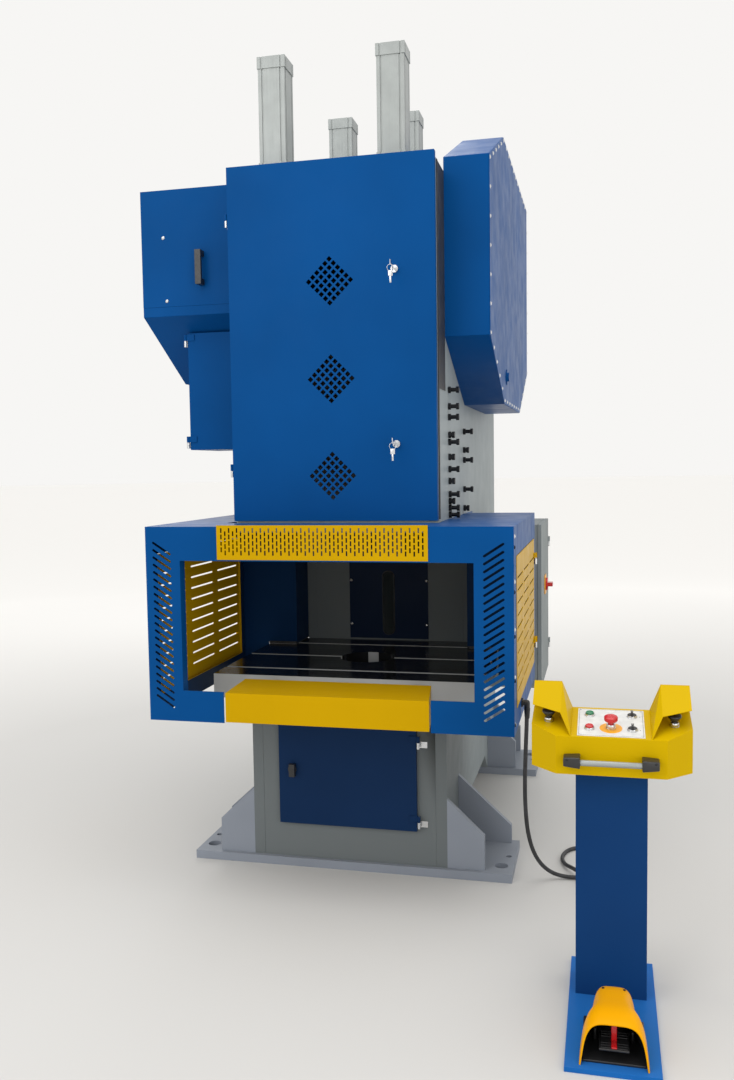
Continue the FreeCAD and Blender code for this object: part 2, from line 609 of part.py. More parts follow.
def shank_clamp():
    """Clamp block that closes the shank hole from the front, with its two nuts."""
    block = box((-CLAMP_HALF_X + 0.5, CLAMP_HALF_X - 0.5), (RAM_Y - RAM_HALF_Y, RAM_Y - 0.5),
                (RAM_BOTTOM, RAM_BOTTOM + CLAMP_H - 0.5))
    block = block.cut(cylinder(SHANK_R, (0, RAM_Y, RAM_BOTTOM - 1), Z_AXIS, SHANK_DEPTH + 1))
    nuts = [hexagon(30, (s * 70, RAM_Y - RAM_HALF_Y, RAM_BOTTOM + 48), V(0, -1, 0), 16) for s in (-1, 1)]
    return group([block] + nuts)


def balance_beam():
    """Plate on the ram's head that the four counterbalance rods pull on."""
    front, rear = CYL_FRONT[1] - 35, CYL_REAR[1] + 35
    z = (RAM_TOP, RAM_TOP + BEAM_T)
    spine = box((-190, 190), (front, rear), z)
    bar = box((-CYL_FRONT[0] - 26, CYL_FRONT[0] + 26), (front, CYL_FRONT[1] + 30), z)
    holes = [cylinder(CYL_ROD_R + RUNNING_FIT, (s * x, y, RAM_TOP - 1), Z_AXIS, BEAM_T + 2)
             for x, y in (CYL_FRONT, CYL_REAR) for s in (-1, 1)]
    holes.append(cylinder(WELL_R, (0, RAM_Y, RAM_TOP - 1), Z_AXIS, BEAM_T + 2))
    return fuse([spine, bar]).cut(holes)


def balance_rods():
    """Piston rods with their pistons and end nuts."""
    piston_z = CYL_TOP - CYL_CAP - 60
    rods = []
    for x, y in (CYL_FRONT, CYL_REAR):
        for s in (-1, 1):
            start = (s * x, y, RAM_TOP - 28)
            rods.append(fuse([cylinder(CYL_ROD_R, start, Z_AXIS, piston_z + 25 - start[2]),
                              cylinder(CYL_BORE_R - RUNNING_FIT, (s * x, y, piston_z), Z_AXIS, 25),
                              hexagon(46, (s * x, y, RAM_TOP - 22), Z_AXIS, 21.5)]))
    return group(rods)


def balance_cylinder(x, y):
    """Square profile cylinder with ribbed corners, a lower and an upper cap."""
    half = CYL_SQUARE / 2.0
    caps = []
    for z in (FRAME_TOP, CYL_TOP - CYL_CAP):
        cap = box((x - half, x + half), (y - half, y + half), (z, z + CYL_CAP))
        caps.append(cap.cut(profile_grooves(x, y, half, (z - 1, z + CYL_CAP + 1))))
    caps[0] = caps[0].cut(cylinder(CYL_ROD_R + RUNNING_FIT, (x, y, FRAME_TOP - 1), Z_AXIS, CYL_CAP + 2))
    body_half = half - 3
    body_z = (FRAME_TOP + CYL_CAP, CYL_TOP - CYL_CAP)
    body = box((x - body_half, x + body_half), (y - body_half, y + body_half), body_z)
    body = body.cut(profile_grooves(x, y, body_half, (body_z[0] - 1, body_z[1] + 1)))
    body = body.cut(cylinder(CYL_BORE_R, (x, y, body_z[0] - 1), Z_AXIS, body_z[1] - body_z[0] + 2))
    return [caps[0], body, caps[1]]


def profile_grooves(x, y, half, z):
    """Two grooves in each face, which leave a rib at every corner."""
    cuts = []
    for s in (-1, 1):
        for g in (-1, 1):
            u, face = g * (half - 17), s * half
            cuts.append(box((x + u - 3, x + u + 3), (y + face - 3.5, y + face + 3.5), z))
            cuts.append(box((x + face - 3.5, x + face + 3.5), (y + u - 3, y + u + 3), z))
    return cuts


def balance_cylinders():
    """Four counterbalance cylinders on the crown."""
    solids = []
    for x, y in (CYL_FRONT, CYL_REAR):
        for s in (-1, 1):
            solids += balance_cylinder(s * x, y)
    return group(solids)


BRAKE_DEPTH = 150.0
BRAKE_X = -FRAME_HALF_X - BRAKE_DEPTH
BRAKE_R = 235.0


def drive_shaft():
    """Drive shaft with its pinion, and the brake rotor on its left end."""
    left, right = BRAKE_X - 20, FLYWHEEL_COVER_X[1] - 14
    shaft = cylinder(DRIVE_R, (left, DRIVE_Y, DRIVE_Z), X_AXIS, right - left)
    outline = [(DRIVE_Y + y, DRIVE_Z + z) for y, z in
               gear_outline(PINION_TEETH, GEAR_MODULE, GEAR_LINE + math.pi)]
    pinion = prism(outline, "yz", GEAR_X - PINION_EXTRA, GEAR_X + GEAR_FACE + PINION_EXTRA)
    rotor = tube(BRAKE_R - 35, DRIVE_R + 0.02, (-500, DRIVE_Y, DRIVE_Z), X_AXIS, 22)
    hub = tube(DRIVE_R + 25, DRIVE_R + 0.02, (-530, DRIVE_Y, DRIVE_Z), X_AXIS, 70)
    return group([fuse([shaft, pinion]), fuse([rotor, hub])])


def brake_housing():
    """Drum bolted to the left side plate round the brake rotor, with its end cover."""
    drum = cylinder(BRAKE_R, (BRAKE_X, DRIVE_Y, DRIVE_Z), X_AXIS, -FRAME_HALF_X - BRAKE_X)
    hollow = cylinder(BRAKE_R - 20, (BRAKE_X - 1, DRIVE_Y, DRIVE_Z), X_AXIS, BRAKE_DEPTH - 18)
    bore = cylinder(DRIVE_R + 12, (BRAKE_X - 50, DRIVE_Y, DRIVE_Z), X_AXIS, 300)
    cover = cylinder(BRAKE_R, (BRAKE_X - 12, DRIVE_Y, DRIVE_Z), X_AXIS, 12)
    return group([drum.cut(hollow).cut(bore), cover.cut(bore)])


def rim_grooves(radius, start_x, face, centre):
    """Ring cutters for the belts in a rim."""
    first = start_x + face / 2.0 - BELT_PITCH * (BELT_COUNT - 1) / 2.0
    grooves = []
    for k in range(BELT_COUNT):
        x = first + k * BELT_PITCH - BELT_W / 2.0 - 0.5
        grooves.append(tube(radius + 1, radius - BELT_SINK, (x, centre[0], centre[1]), X_AXIS, BELT_W + 1))
    return grooves


def flywheel():
    """Flywheel with a spoked web and belt grooves, and the clutch housing inside its hub."""
    x, y, z = FLYWHEEL_X, DRIVE_Y, DRIVE_Z
    rim = tube(FLYWHEEL_R, FLYWHEEL_R - RIM_T, (x, y, z), X_AXIS, FLYWHEEL_FACE)
    rim = rim.cut(rim_grooves(FLYWHEEL_R, x, FLYWHEEL_FACE, (y, z)))
    web = cylinder(FLYWHEEL_R - RIM_T + 1, (x + 25, y, z), X_AXIS, 40)
    hub = cylinder(105, (x, y, z), X_AXIS, FLYWHEEL_FACE - 20)
    middle = (FLYWHEEL_R - RIM_T + 215) / 2.0
    holes = [cylinder(62, (x + 20, y + middle * math.cos(math.radians(60 * k)),
                           z + middle * math.sin(math.radians(60 * k))), X_AXIS, 60) for k in range(6)]
    bore = cylinder(DRIVE_R + RUNNING_FIT, (x - 1, y, z), X_AXIS, FLYWHEEL_FACE + 2)
    wheel = fuse([rim, web, hub]).cut(holes + [bore])
    clutch = tube(205, 105, (x + 65, y, z), X_AXIS, 45)
    return group([wheel, clutch])


def motor():
    """Drive motor: finned body with end shields, feet and terminal box."""
    stop = INNER_X - 12
    start = stop - MOTOR_LENGTH
    body = cylinder(MOTOR_R - 12, (start, MOTOR_Y, MOTOR_Z), X_AXIS, MOTOR_LENGTH)
    fins = []
    for k in range(24):
        fin = box((start + 45, stop - 35), (-2.5, 2.5), (MOTOR_R - 20, MOTOR_R))
        fin.rotate(V(0, 0, 0), X_AXIS, 15 * k)
        fin.translate(V(0, MOTOR_Y, MOTOR_Z))
        fins.append(fin)
    shields = [cylinder(MOTOR_R, (x, MOTOR_Y, MOTOR_Z), X_AXIS, 20) for x in (start, stop - 25)]
    feet = [box((start + 50, stop - 50), (MOTOR_Y + y, MOTOR_Y + y + 50), (MOTOR_SHELF_TOP, MOTOR_Z - 60))
            for y in (-105, 55)]
    boss = tube(MOTOR_SHAFT_R + 12, MOTOR_SHAFT_R + RUNNING_FIT, (stop - 5, MOTOR_Y, MOTOR_Z), X_AXIS, 10)
    terminal = box((start + 90, start + 190), (MOTOR_Y - 50, MOTOR_Y + 50), (MOTOR_Z + 100, MOTOR_Z + 145))
    shaft_room = cylinder(MOTOR_SHAFT_R + RUNNING_FIT, (start + 20, MOTOR_Y, MOTOR_Z), X_AXIS, MOTOR_LENGTH)
    return fuse([body] + fins + shields + feet + [terminal, boss]).cut(shaft_room)


def motor_pulley():
    """Motor shaft with its grooved pulley."""
    start = INNER_X - 12 - MOTOR_LENGTH + 22
    shaft = cylinder(MOTOR_SHAFT_R, (start, MOTOR_Y, MOTOR_Z), X_AXIS, FLYWHEEL_X + FLYWHEEL_FACE - start)
    pulley = tube(PULLEY_R, MOTOR_SHAFT_R + 0.02, (FLYWHEEL_X, MOTOR_Y, MOTOR_Z), X_AXIS, FLYWHEEL_FACE)
    pulley = pulley.cut(rim_grooves(PULLEY_R, FLYWHEEL_X, FLYWHEEL_FACE, (MOTOR_Y, MOTOR_Z)))
    return group([shaft, pulley])


def belt_loop(large, small, x, width):
    """Solid bounded by an open belt line round two wheels."""
    dy, dz = MOTOR_Y - DRIVE_Y, MOTOR_Z - DRIVE_Z
    distance, slope = math.hypot(dy, dz), math.atan2(dz, dy)
    lean = math.acos((large - small) / distance)
    at = lambda cy, cz, r, a: V(x, cy + r * math.cos(a), cz + r * math.sin(a))
    up, down = slope + lean, slope - lean
    edges = [Part.Arc(at(DRIVE_Y, DRIVE_Z, large, up), at(DRIVE_Y, DRIVE_Z, large, slope + math.pi),
                      at(DRIVE_Y, DRIVE_Z, large, down)).toShape(),
             Part.LineSegment(at(DRIVE_Y, DRIVE_Z, large, down), at(MOTOR_Y, MOTOR_Z, small, down)).toShape(),
             Part.Arc(at(MOTOR_Y, MOTOR_Z, small, down), at(MOTOR_Y, MOTOR_Z, small, slope),
                      at(MOTOR_Y, MOTOR_Z, small, up)).toShape(),
             Part.LineSegment(at(MOTOR_Y, MOTOR_Z, small, up), at(DRIVE_Y, DRIVE_Z, large, up)).toShape()]
    return Part.Face(Part.Wire(edges)).extrude(V(width, 0, 0))


def drive_belts():
    """Belts from the motor pulley to the flywheel, just clear of their grooves."""
    large = FLYWHEEL_R - BELT_SINK + SEAT_GAP
    small = PULLEY_R - BELT_SINK + SEAT_GAP
    first = FLYWHEEL_X + FLYWHEEL_FACE / 2.0 - BELT_PITCH * (BELT_COUNT - 1) / 2.0
    belts = []
    for k in range(BELT_COUNT):
        x = first + k * BELT_PITCH - BELT_W / 2.0
        outer = belt_loop(large + BELT_T, small + BELT_T, x, BELT_W)
        inner = belt_loop(large, small, x - 1, BELT_W + 2)
        belts.append(outer.cut(inner))
    return group(belts)


# ================================================================ covers
def flywheel_cover():
    """Pan over the flywheel and belts: back plate, folded rim and front flange."""
    x0, x1 = FLYWHEEL_COVER_X
    solid = prism(FLYWHEEL_COVER, "yz", x0, x1 - SHEET)
    hollow = prism(inset(FLYWHEEL_COVER, SHEET), "yz", x0 + SHEET, x1 - 2 * SHEET)
    mouth = prism(inset(FLYWHEEL_COVER, COVER_FLANGE), "yz", x0 + SHEET, x1)
    holes = [cylinder(DRIVE_BUSH_R + 18, (x0 - 1, DRIVE_Y, DRIVE_Z), X_AXIS, SHEET + 2),
             cylinder(BUSH_R + 18, (x0 - 1, RAM_Y, CRANK_Z), X_AXIS, SHEET + 2),
             cylinder(2 * MOTOR_SHAFT_R, (x0 - 1, MOTOR_Y, MOTOR_Z), X_AXIS, SHEET + 2)]
    return solid.cut([hollow, mouth] + holes)


def flywheel_cover_plate():
    """Flat plate that closes the flywheel cover, with its inspection plug."""
    x1 = FLYWHEEL_COVER_X[1]
    plate = prism(inset(FLYWHEEL_COVER, 1.0), "yz", x1 - SHEET, x1)
    plug = fuse([cylinder(34, (x1, -172, 2053), X_AXIS, 4), cylinder(20, (x1, -172, 2053), X_AXIS, 12)])
    return group([plate, plug])


def screws_round(points, distance, pitch):
    """Even places along each side of an outline, inset by a distance."""
    line = inset(points, distance)
    places = []
    for k, (y0, z0) in enumerate(line):
        y1, z1 = line[(k + 1) % len(line)]
        count = max(1, round(math.hypot(y1 - y0, z1 - z0) / pitch))
        places += [(y0 + (y1 - y0) * i / count, z0 + (z1 - z0) * i / count) for i in range(count)]
    return places


def dome_screw(start, direction):
    """Low domed head, flat underneath."""
    ball_r = (DOME_R ** 2 + DOME_H ** 2) / (2 * DOME_H)
    centre = V(*start) + direction * (DOME_H - ball_r)
    return Part.makeSphere(ball_r, centre).common(cylinder(DOME_R + 1, start, direction, DOME_H + 1))


def cover_screws():
    """Domed screws of the flywheel cover, the guard's right pillar and the throat panel."""
    x1 = FLYWHEEL_COVER_X[1]
    screws = [dome_screw((x1, y, z), X_AXIS)
              for y, z in screws_round(FLYWHEEL_COVER, COVER_FLANGE / 2.0, SCREW_PITCH)]
    screws += [dome_screw((GUARD_X[1], GUARD_Y[0] + 22, z), X_AXIS)
               for z in (735, 905, 1075, 1245, 1405)]
    screws += [dome_screw((s * 187, THROAT_Y - SHEET, z), V(0, -1, 0)) for s in (-1, 1) for z in (889, 1104)]
    return group(screws)


def brake_cover():
    """Sheet box over the brake on the left side plate, open at the front above its lip."""
    x0, x1 = BRAKE_BOX_X
    solid = prism(BRAKE_BOX, "yz", x0, x1)
    hollow = prism(inset(BRAKE_BOX, SHEET), "yz", x0 + SHEET, x1 + 1)
    front = box((x0 - 1, x1 + 1), (BRAKE_BOX[0][0] - 1, BRAKE_BOX[0][0] + HATCH_DEPTH + SEAT_GAP),
                (HATCH_Z, BRAKE_BOX[1][1] + 1))
    shell = solid.cut(hollow).cut(front)
    flange = prism([(y, z) for y, z in BRAKE_BOX], "yz", x1 - SHEET, x1)
    flange = flange.cut(prism(inset(BRAKE_BOX, 28), "yz", x1 - SHEET - 1, x1 + 1)).cut(front)
    return fuse([shell, flange])


def brake_hatch():
    """Lift-off hatch of the brake cover with its bridge handle and quarter-turn studs."""
    x0, x1 = BRAKE_BOX_X
    y0 = BRAKE_BOX[0][0]
    leaf = pan((x0, x1 - EDGE_GAP), y0, HATCH_DEPTH, (HATCH_Z + SEAT_GAP, BRAKE_BOX[1][1]), SHEET)
    grip = box((-618, -592), (y0 - 44, y0 - 30), (2418, 2558))
    legs = [box((-616, -594), (y0 - 31, y0), z) for z in ((2418, 2442), (2534, 2558))]
    studs = [dome_screw((x, y0, z), V(0, -1, 0)) for x, z in ((-775, 2623), (-765, 2362))]
    return group([leaf, fuse([grip] + legs)] + studs)


def chamfer_z(y):
    """Height of the brake cover's sloping underside at a station."""
    (y0, z0), (y1, z1) = BRAKE_BOX[0], BRAKE_BOX[-1]
    return z0 + (z1 - z0) * (y - y0) / (y1 - y0)


def left_cabinet():
    """Sheet cabinet below the brake cover, open at the front."""
    (x0, x1), (y0, y1) = LEFT_CABINET_X, LEFT_CABINET_Y
    outline = [(y0, LEFT_CABINET_Z), (y0, chamfer_z(y0) - 1), (y1, chamfer_z(y1) - 1), (y1, LEFT_CABINET_Z)]
    hollow = inset(outline, SHEET)
    solid = prism(outline, "yz", x0, x1)
    front = box((x0 + 20, LEFT_DOOR_X[1] - 20), (y0 - 1, y0 + 10), (LEFT_CABINET_Z + 20, LEFT_DOOR_Z[1] - 20))
    return solid.cut([prism(hollow, "yz", x0 + SHEET, x1 - SHEET), front])


LEFT_DOOR_Y = LEFT_CABINET_Y[0] - EDGE_GAP - LEFT_DOOR_T
LEFT_DOOR_Z = (LEFT_CABINET_Z, 2236.0)


def doors_and_hinges():
    """Every hinged door with the moving half of its hinges, and the fixed halves apart."""
    fixed, doors = [], {}

    x = -FRONT_DOOR_HALF_X - 9
    leaf = [front_door_leaf()]
    for z in (FRONT_DOOR_Z[0] + 200, FRONT_DOOR_Z[1] - 200):
        a, b = lift_off_hinge(x, HEAD_Y - 16, z, ((x - 2, x + 8), (HEAD_Y - 16, HEAD_Y)),
                              ((x, x + 9), (HEAD_Y - 18, HEAD_Y - 14)))
        leg = box((-FRAME_HALF_X - 12, -FRAME_HALF_X), (HEAD_Y, HEAD_Y + 45), (z - 26, z - SEAT_GAP / 2))
        fixed.append(fuse([a, leg]))
        leaf.append(b)
    doors["front_door"] = fuse(leaf)

    x = LEFT_CABINET_X[0] - 8
    leaf = [pan(LEFT_DOOR_X, LEFT_DOOR_Y, LEFT_DOOR_T, LEFT_DOOR_Z, SHEET)]
    for z in (LEFT_DOOR_Z[0] + 32, LEFT_DOOR_Z[1] - 32):
        y = LEFT_DOOR_Y - 2
        a, b = lift_off_hinge(x, y, z, ((x - 1, x + 8), (y, LEFT_CABINET_Y[0] + 30)),
                              ((x, x + 40), (y - 2, y + 2)))
        fixed.append(a.cut(box((x + 8, x + 60), (y - 20, y + 80), (z - 40, z + 40))))
        leaf.append(b)
    doors["left_cabinet_door"] = fuse(leaf)

    x = PEDESTAL_DOOR_HALF_X + 9
    front = PEDESTAL_Y - EDGE_GAP - 18
    leaf = [pan((-PEDESTAL_DOOR_HALF_X, PEDESTAL_DOOR_HALF_X), front, 18, PEDESTAL_DOOR_Z, SHEET)
            .cut(cylinder(LOCK_R + RUNNING_FIT, (LATCH_X, front - 5, LATCH_Z), Y_AXIS, 20))]
    for z in (PEDESTAL_DOOR_Z[0] + 40, PEDESTAL_DOOR_Z[1] - 60):
        y = front - 2
        a, b = lift_off_hinge(x, y, z, ((x - 2, x + 2), (y, PEDESTAL_Y)), ((x - 40, x), (y - 2, y + 2)))
        pad = box((x - 4, x + 34), (PEDESTAL_Y - 4, PEDESTAL_Y), (z - 26, z - SEAT_GAP / 2))
        fixed.append(fuse([a, pad]))
        leaf.append(b)
    doors["pedestal_door"] = fuse(leaf)

    for name, side, face in (("guard_door_left", -1, GUARD_X[0]), ("guard_door_right", 1, GUARD_X[1])):
        x = face + side * 8
        leaf = [side_door_leaf(side, face)]
        for z in (SIDE_DOOR_Z[0] + 90, SIDE_DOOR_Z[1] - 90):
            y = SIDE_DOOR_Y[1] + 9
            a, b = lift_off_hinge(x, y, z, (sorted((face, x + side * 1)), (y - 4, y + 32)),
                                  (sorted((x, x - side * 6)), (y - 40, y)))
            fixed.append(a)
            leaf.append(b)
        doors[name] = fuse(leaf)

    x = CABINET_X[1] + EDGE_GAP + CABINET_DOOR_T + 2
    leaf = [cabinet_door_leaf()]
    for z in (CABINET_Z[0] + 120, CABINET_Z[1] - 120):
        y = CABINET_Y[1] + 9
        a, b = lift_off_hinge(x, y, z, ((CABINET_X[1] - 40, x), (y - 1, y + 3)), ((x - 2, x + 2), (y - 40, y)))
        pad = box((CABINET_X[1] - 40, CABINET_X[1]), (CABINET_Y[1], y), (z - 26, z - SEAT_GAP / 2))
        fixed.append(fuse([a, pad]))
        leaf.append(b)
    doors["electrical_cabinet_door"] = group([fuse(leaf), switch_plate()])
    doors["hinge_leaves"] = group(fixed)
    return doors


def front_door_leaf():
    """Tall front door with three diamond vents and holes for its two locks."""
    door = pan((-FRONT_DOOR_HALF_X, FRONT_DOOR_HALF_X), FRONT_DOOR_Y, HEAD_Y - EDGE_GAP - FRONT_DOOR_Y,
               FRONT_DOOR_Z, SHEET)
    cuts = []
    middle = (VENT_CELLS - 1) / 2.0
    for z in VENT_Z:
        for i in range(VENT_CELLS):
            for j in range(VENT_CELLS):
                hole = box((-VENT_HOLE / 2, VENT_HOLE / 2), (-5, 10), (-VENT_HOLE / 2, VENT_HOLE / 2))
                hole.translate(V((i - middle) * VENT_PITCH, 0, (j - middle) * VENT_PITCH))
                hole.rotate(V(0, 0, 0), Y_AXIS, 45)
                hole.translate(V(0, FRONT_DOOR_Y, z))
                cuts.append(hole)
    cuts += [cylinder(LOCK_R + RUNNING_FIT, (LOCK_X, FRONT_DOOR_Y - 5, z), Y_AXIS, 15) for z in LOCK_Z]
    return door.cut(cuts)


def door_lock(z):
    """Lock cylinder with its cam behind the door and a key in its face."""
    y = FRONT_DOOR_Y
    barrel = cylinder(LOCK_R, (LOCK_X, y - 6, z), Y_AXIS, 24)
    face = cylinder(LOCK_R + 3, (LOCK_X, y - 8, z), Y_AXIS, 8 - SEAT_GAP)
    cam = box((LOCK_X - 8, LOCK_X + 8), (y + 14, y + 18), (z - 8, z + 34))
    key = box((LOCK_X - 1.2, LOCK_X + 1.2), (y - 34, y - 7), (z - 4, z + 4))
    bow = cylinder(11, (LOCK_X - 1.2, y - 38, z), X_AXIS, 2.4)
    return fuse([barrel, face, cam, key, bow])


def pedestal_latch():
    """Swing latch of the pedestal door."""
    front = PEDESTAL_Y - EDGE_GAP - 18
    barrel = cylinder(LOCK_R, (LATCH_X, front - 4, LATCH_Z), Y_AXIS, 18)
    rose = cylinder(LOCK_R + 7, (LATCH_X, front - 6, LATCH_Z), Y_AXIS, 6 - SEAT_GAP)
    lever = box((LATCH_X - 8, LATCH_X + 16), (front - 26, front - 5), (LATCH_Z - 26, LATCH_Z + 26))
    return fuse([barrel, rose, lever])


def electrical_cabinet():
    """Steel cabinet on the right side plate, open on its right for the door."""
    outer = box(CABINET_X, CABINET_Y, CABINET_Z)
    hollow = box((CABINET_X[0] + SHEET, CABINET_X[1] + 1), (CABINET_Y[0] + SHEET, CABINET_Y[1] - SHEET),
                 (CABINET_Z[0] + SHEET, CABINET_Z[1] - SHEET))
    brackets = [box((FRAME_HALF_X, CABINET_X[0]), (y, y + 60), (CABINET_Z[0] + 60, CABINET_Z[1] - 60))
                for y in (CABINET_Y[0] + 60, CABINET_Y[1] - 120)]
    back_plate = box((CABINET_X[0] + SHEET, CABINET_X[0] + SHEET + 12),
                     (CABINET_Y[0] + 60, CABINET_Y[1] - 60), (CABINET_Z[0] + 60, CABINET_Z[1] - 60))
    return group([fuse([outer.cut(hollow)] + brackets), back_plate])


CABINET_DOOR_X = (CABINET_X[1] + EDGE_GAP, CABINET_X[1] + EDGE_GAP + CABINET_DOOR_T)


def cabinet_door_leaf():
    """Cabinet door, a pan facing right, bored for the switch shaft."""
    outer = box(CABINET_DOOR_X, CABINET_Y, CABINET_Z)
    hollow = box((CABINET_DOOR_X[0] - 1, CABINET_DOOR_X[1] - SHEET),
                 (CABINET_Y[0] + SHEET, CABINET_Y[1] - SHEET), (CABINET_Z[0] + SHEET, CABINET_Z[1] - SHEET))
    bore = cylinder(6 + RUNNING_FIT, (CABINET_DOOR_X[0], SWITCH_Y, SWITCH_Z), X_AXIS, 40)
    return outer.cut([hollow, bore])


def switch_plate():
    """Square plate behind the main switch."""
    x = CABINET_DOOR_X[1]
    half = SWITCH_SQUARE / 2.0
    plate = box((x, x + 5), (SWITCH_Y - half, SWITCH_Y + half), (SWITCH_Z - half, SWITCH_Z + half))
    return plate.cut(cylinder(6 + RUNNING_FIT, (x - 1, SWITCH_Y, SWITCH_Z), X_AXIS, 10))


def switch_handle():
    """Rotary handle of the main switch with its shaft."""
    x = CABINET_DOOR_X[1] + 5
    shaft = cylinder(6, (x - 14, SWITCH_Y, SWITCH_Z), X_AXIS, 20)
    disc = cylinder(31, (x + SEAT_GAP, SWITCH_Y, SWITCH_Z), X_AXIS, 9)
    grip = box((x + 5, x + 34), (SWITCH_Y - 29, SWITCH_Y + 29), (SWITCH_Z - 9, SWITCH_Z + 9))
    return fuse([shaft, disc, grip])


# ================================================================ guard
def guard_frame():
    """Folded blue guard: front with pillars, top, side rails and rear panels."""
    (x0, x1), (y0, y1), (z0, z1) = GUARD_X, GUARD_Y, GUARD_Z
    front = box((x0, x1), (y0, y0 + SHEET), (z0, z1))
    front = front.cut([box(WINDOW_X, (y0 - 1, y0 + 5), WINDOW_Z),
                       box((TRAY_X[0] - 6, TRAY_X[1] + 6), (y0 - 1, y0 + 5), (z0 - 1, WINDOW_Z[0] + 1)),
                       box((PANEL_X[0] + 12, PANEL_X[1] - 12), (y0 - 1, y0 + 5),
                           (PANEL_Z[0] + 15, z1 + 1))])
    front = front.cut(pillar_slots())
    top = box((x0, x1), (y0, y1), (z1 - SHEET, z1))
    top = top.cut([box((-FRAME_HALF_X, FRAME_HALF_X), (HEAD_Y - 2, y1 + 1), (z1 - 5, z1 + 1)),
                   box((-FRONT_DOOR_HALF_X - 30, FRONT_DOOR_HALF_X + 6), (FRONT_DOOR_Y - 12, HEAD_Y + 50),
                       (z1 - 5, z1 + 1))])
    sides, rears = [], []
    for face, inward in ((x0, 1), (x1, -1)):
        wall = box(sorted((face, face + inward * SHEET)), (y0, y1), (z0, z1))
        wall = wall.cut(box(sorted((face - inward, face + inward * 5)), (SIDE_DOOR_Y[0], SIDE_DOOR_Y[1]),
                            (SIDE_DOOR_Z[0], SIDE_DOOR_Z[1])))
        sides.append(wall)
        rears.append(box(sorted((face, -inward * FRAME_HALF_X)), (y1 - SHEET, y1), (z0, z1)))
        rears.append(box(sorted((-inward * FRAME_HALF_X, -inward * (FRAME_HALF_X + SHEET))),
                         (y1 - SHEET, CABINET_Y[0] - EDGE_GAP), (BOLSTER_TOP + 8, z1)))
        jamb = box(sorted((WINDOW_X[0] if inward > 0 else WINDOW_X[1],
                           (WINDOW_X[0] if inward > 0 else WINDOW_X[1]) - inward * SHEET)),
                   (y0, y0 + 45), (z0, z1))
        sides.append(jamb)
    plate_room = box((-BOLSTER_X / 2 - 4, BOLSTER_X / 2 + 4), (y1 - 5, y1 + 1), (z0 - 1, BOLSTER_TOP + 8))
    return fuse([front, top] + sides + rears).cut(plate_room)


def pillar_slots():
    """Slanted ventilation slots of the two front pillars."""
    cutters = []
    pitch = (GUARD_Z[1] - GUARD_Z[0] - 130) / PILLAR_SLOTS
    for k in range(PILLAR_SLOTS):
        z = GUARD_Z[0] + 75 + k * pitch
        for centre, turn in (((GUARD_X[0] + WINDOW_X[0]) / 2 - 4, 33), ((GUARD_X[1] + WINDOW_X[1]) / 2, -33)):
            cutters.append(slot_cutter(88, 9, 20, (centre, GUARD_Y[0], z), -turn, "y"))
    return cutters


def perforated_panel():
    """Yellow panel above the window, punched with staggered upright slots."""
    y = GUARD_Y[0] - SHEET
    panel = box(PANEL_X, (y, GUARD_Y[0]), PANEL_Z)
    pitch = (PANEL_X[1] - PANEL_X[0] - 36) / (PANEL_COLUMNS - 1)
    slots = []
    for column in range(PANEL_COLUMNS):
        x = PANEL_X[0] + 18 + column * pitch
        for row in range(PANEL_ROWS):
            z = PANEL_Z[1] - 19 - row * 24 - (12 if column % 2 else 0)
            slots.append(box((x - 3, x + 3), (y - 1, y + SHEET + 1), (z - 9, z + 9)))
    return panel.cut(slots)


def front_tray():
    """Yellow sill in front of the bolster, folded from one sheet, its top rising to the rear."""
    y0, y1 = GUARD_Y[0] - 1.0, GUARD_Y[0] - 1.0 + TRAY_DEPTH
    plan = [(TRAY_X[0], y0), (TRAY_X[1], y0), (TRAY_X[1] - 20, y1), (TRAY_X[0] + 20, y1)]
    room = [(TRAY_X[0] + SHEET, y0 + SHEET), (TRAY_X[1] - SHEET, y0 + SHEET),
            (TRAY_X[1] - 20 - SHEET, y1 + 5), (TRAY_X[0] + 20 + SHEET, y1 + 5)]
    low, high = TRAY_Z
    side = [(y0 - 1, low), (y0 - 1, high), (y0, high), (y1 + 10, high + TRAY_RISE), (y1 + 10, low)]
    outer = prism(plan, "xy", low, high + 60).common(prism(side, "yz", *TRAY_X))
    inner_side = [(y, z - SHEET) for y, z in side]
    hollow = prism(room, "xy", low - 5, high + 60).common(prism(inner_side, "yz", *TRAY_X))
    bracket_y = (y1 - 3, RAM_Y - BOLSTER_Y / 2)
    brackets = [box((x, x + 50), (bracket_y[0] - 60, bracket_y[1]), (high - 70, high - 25)) for x in (-300, 290)]
    ties = [box((x, x + 50), (y0 + 1, y0 + TRAY_DEPTH - 20), (high - 70, high - 67)) for x in (-300, 290)]
    return fuse([outer.cut(hollow)] + brackets + ties)


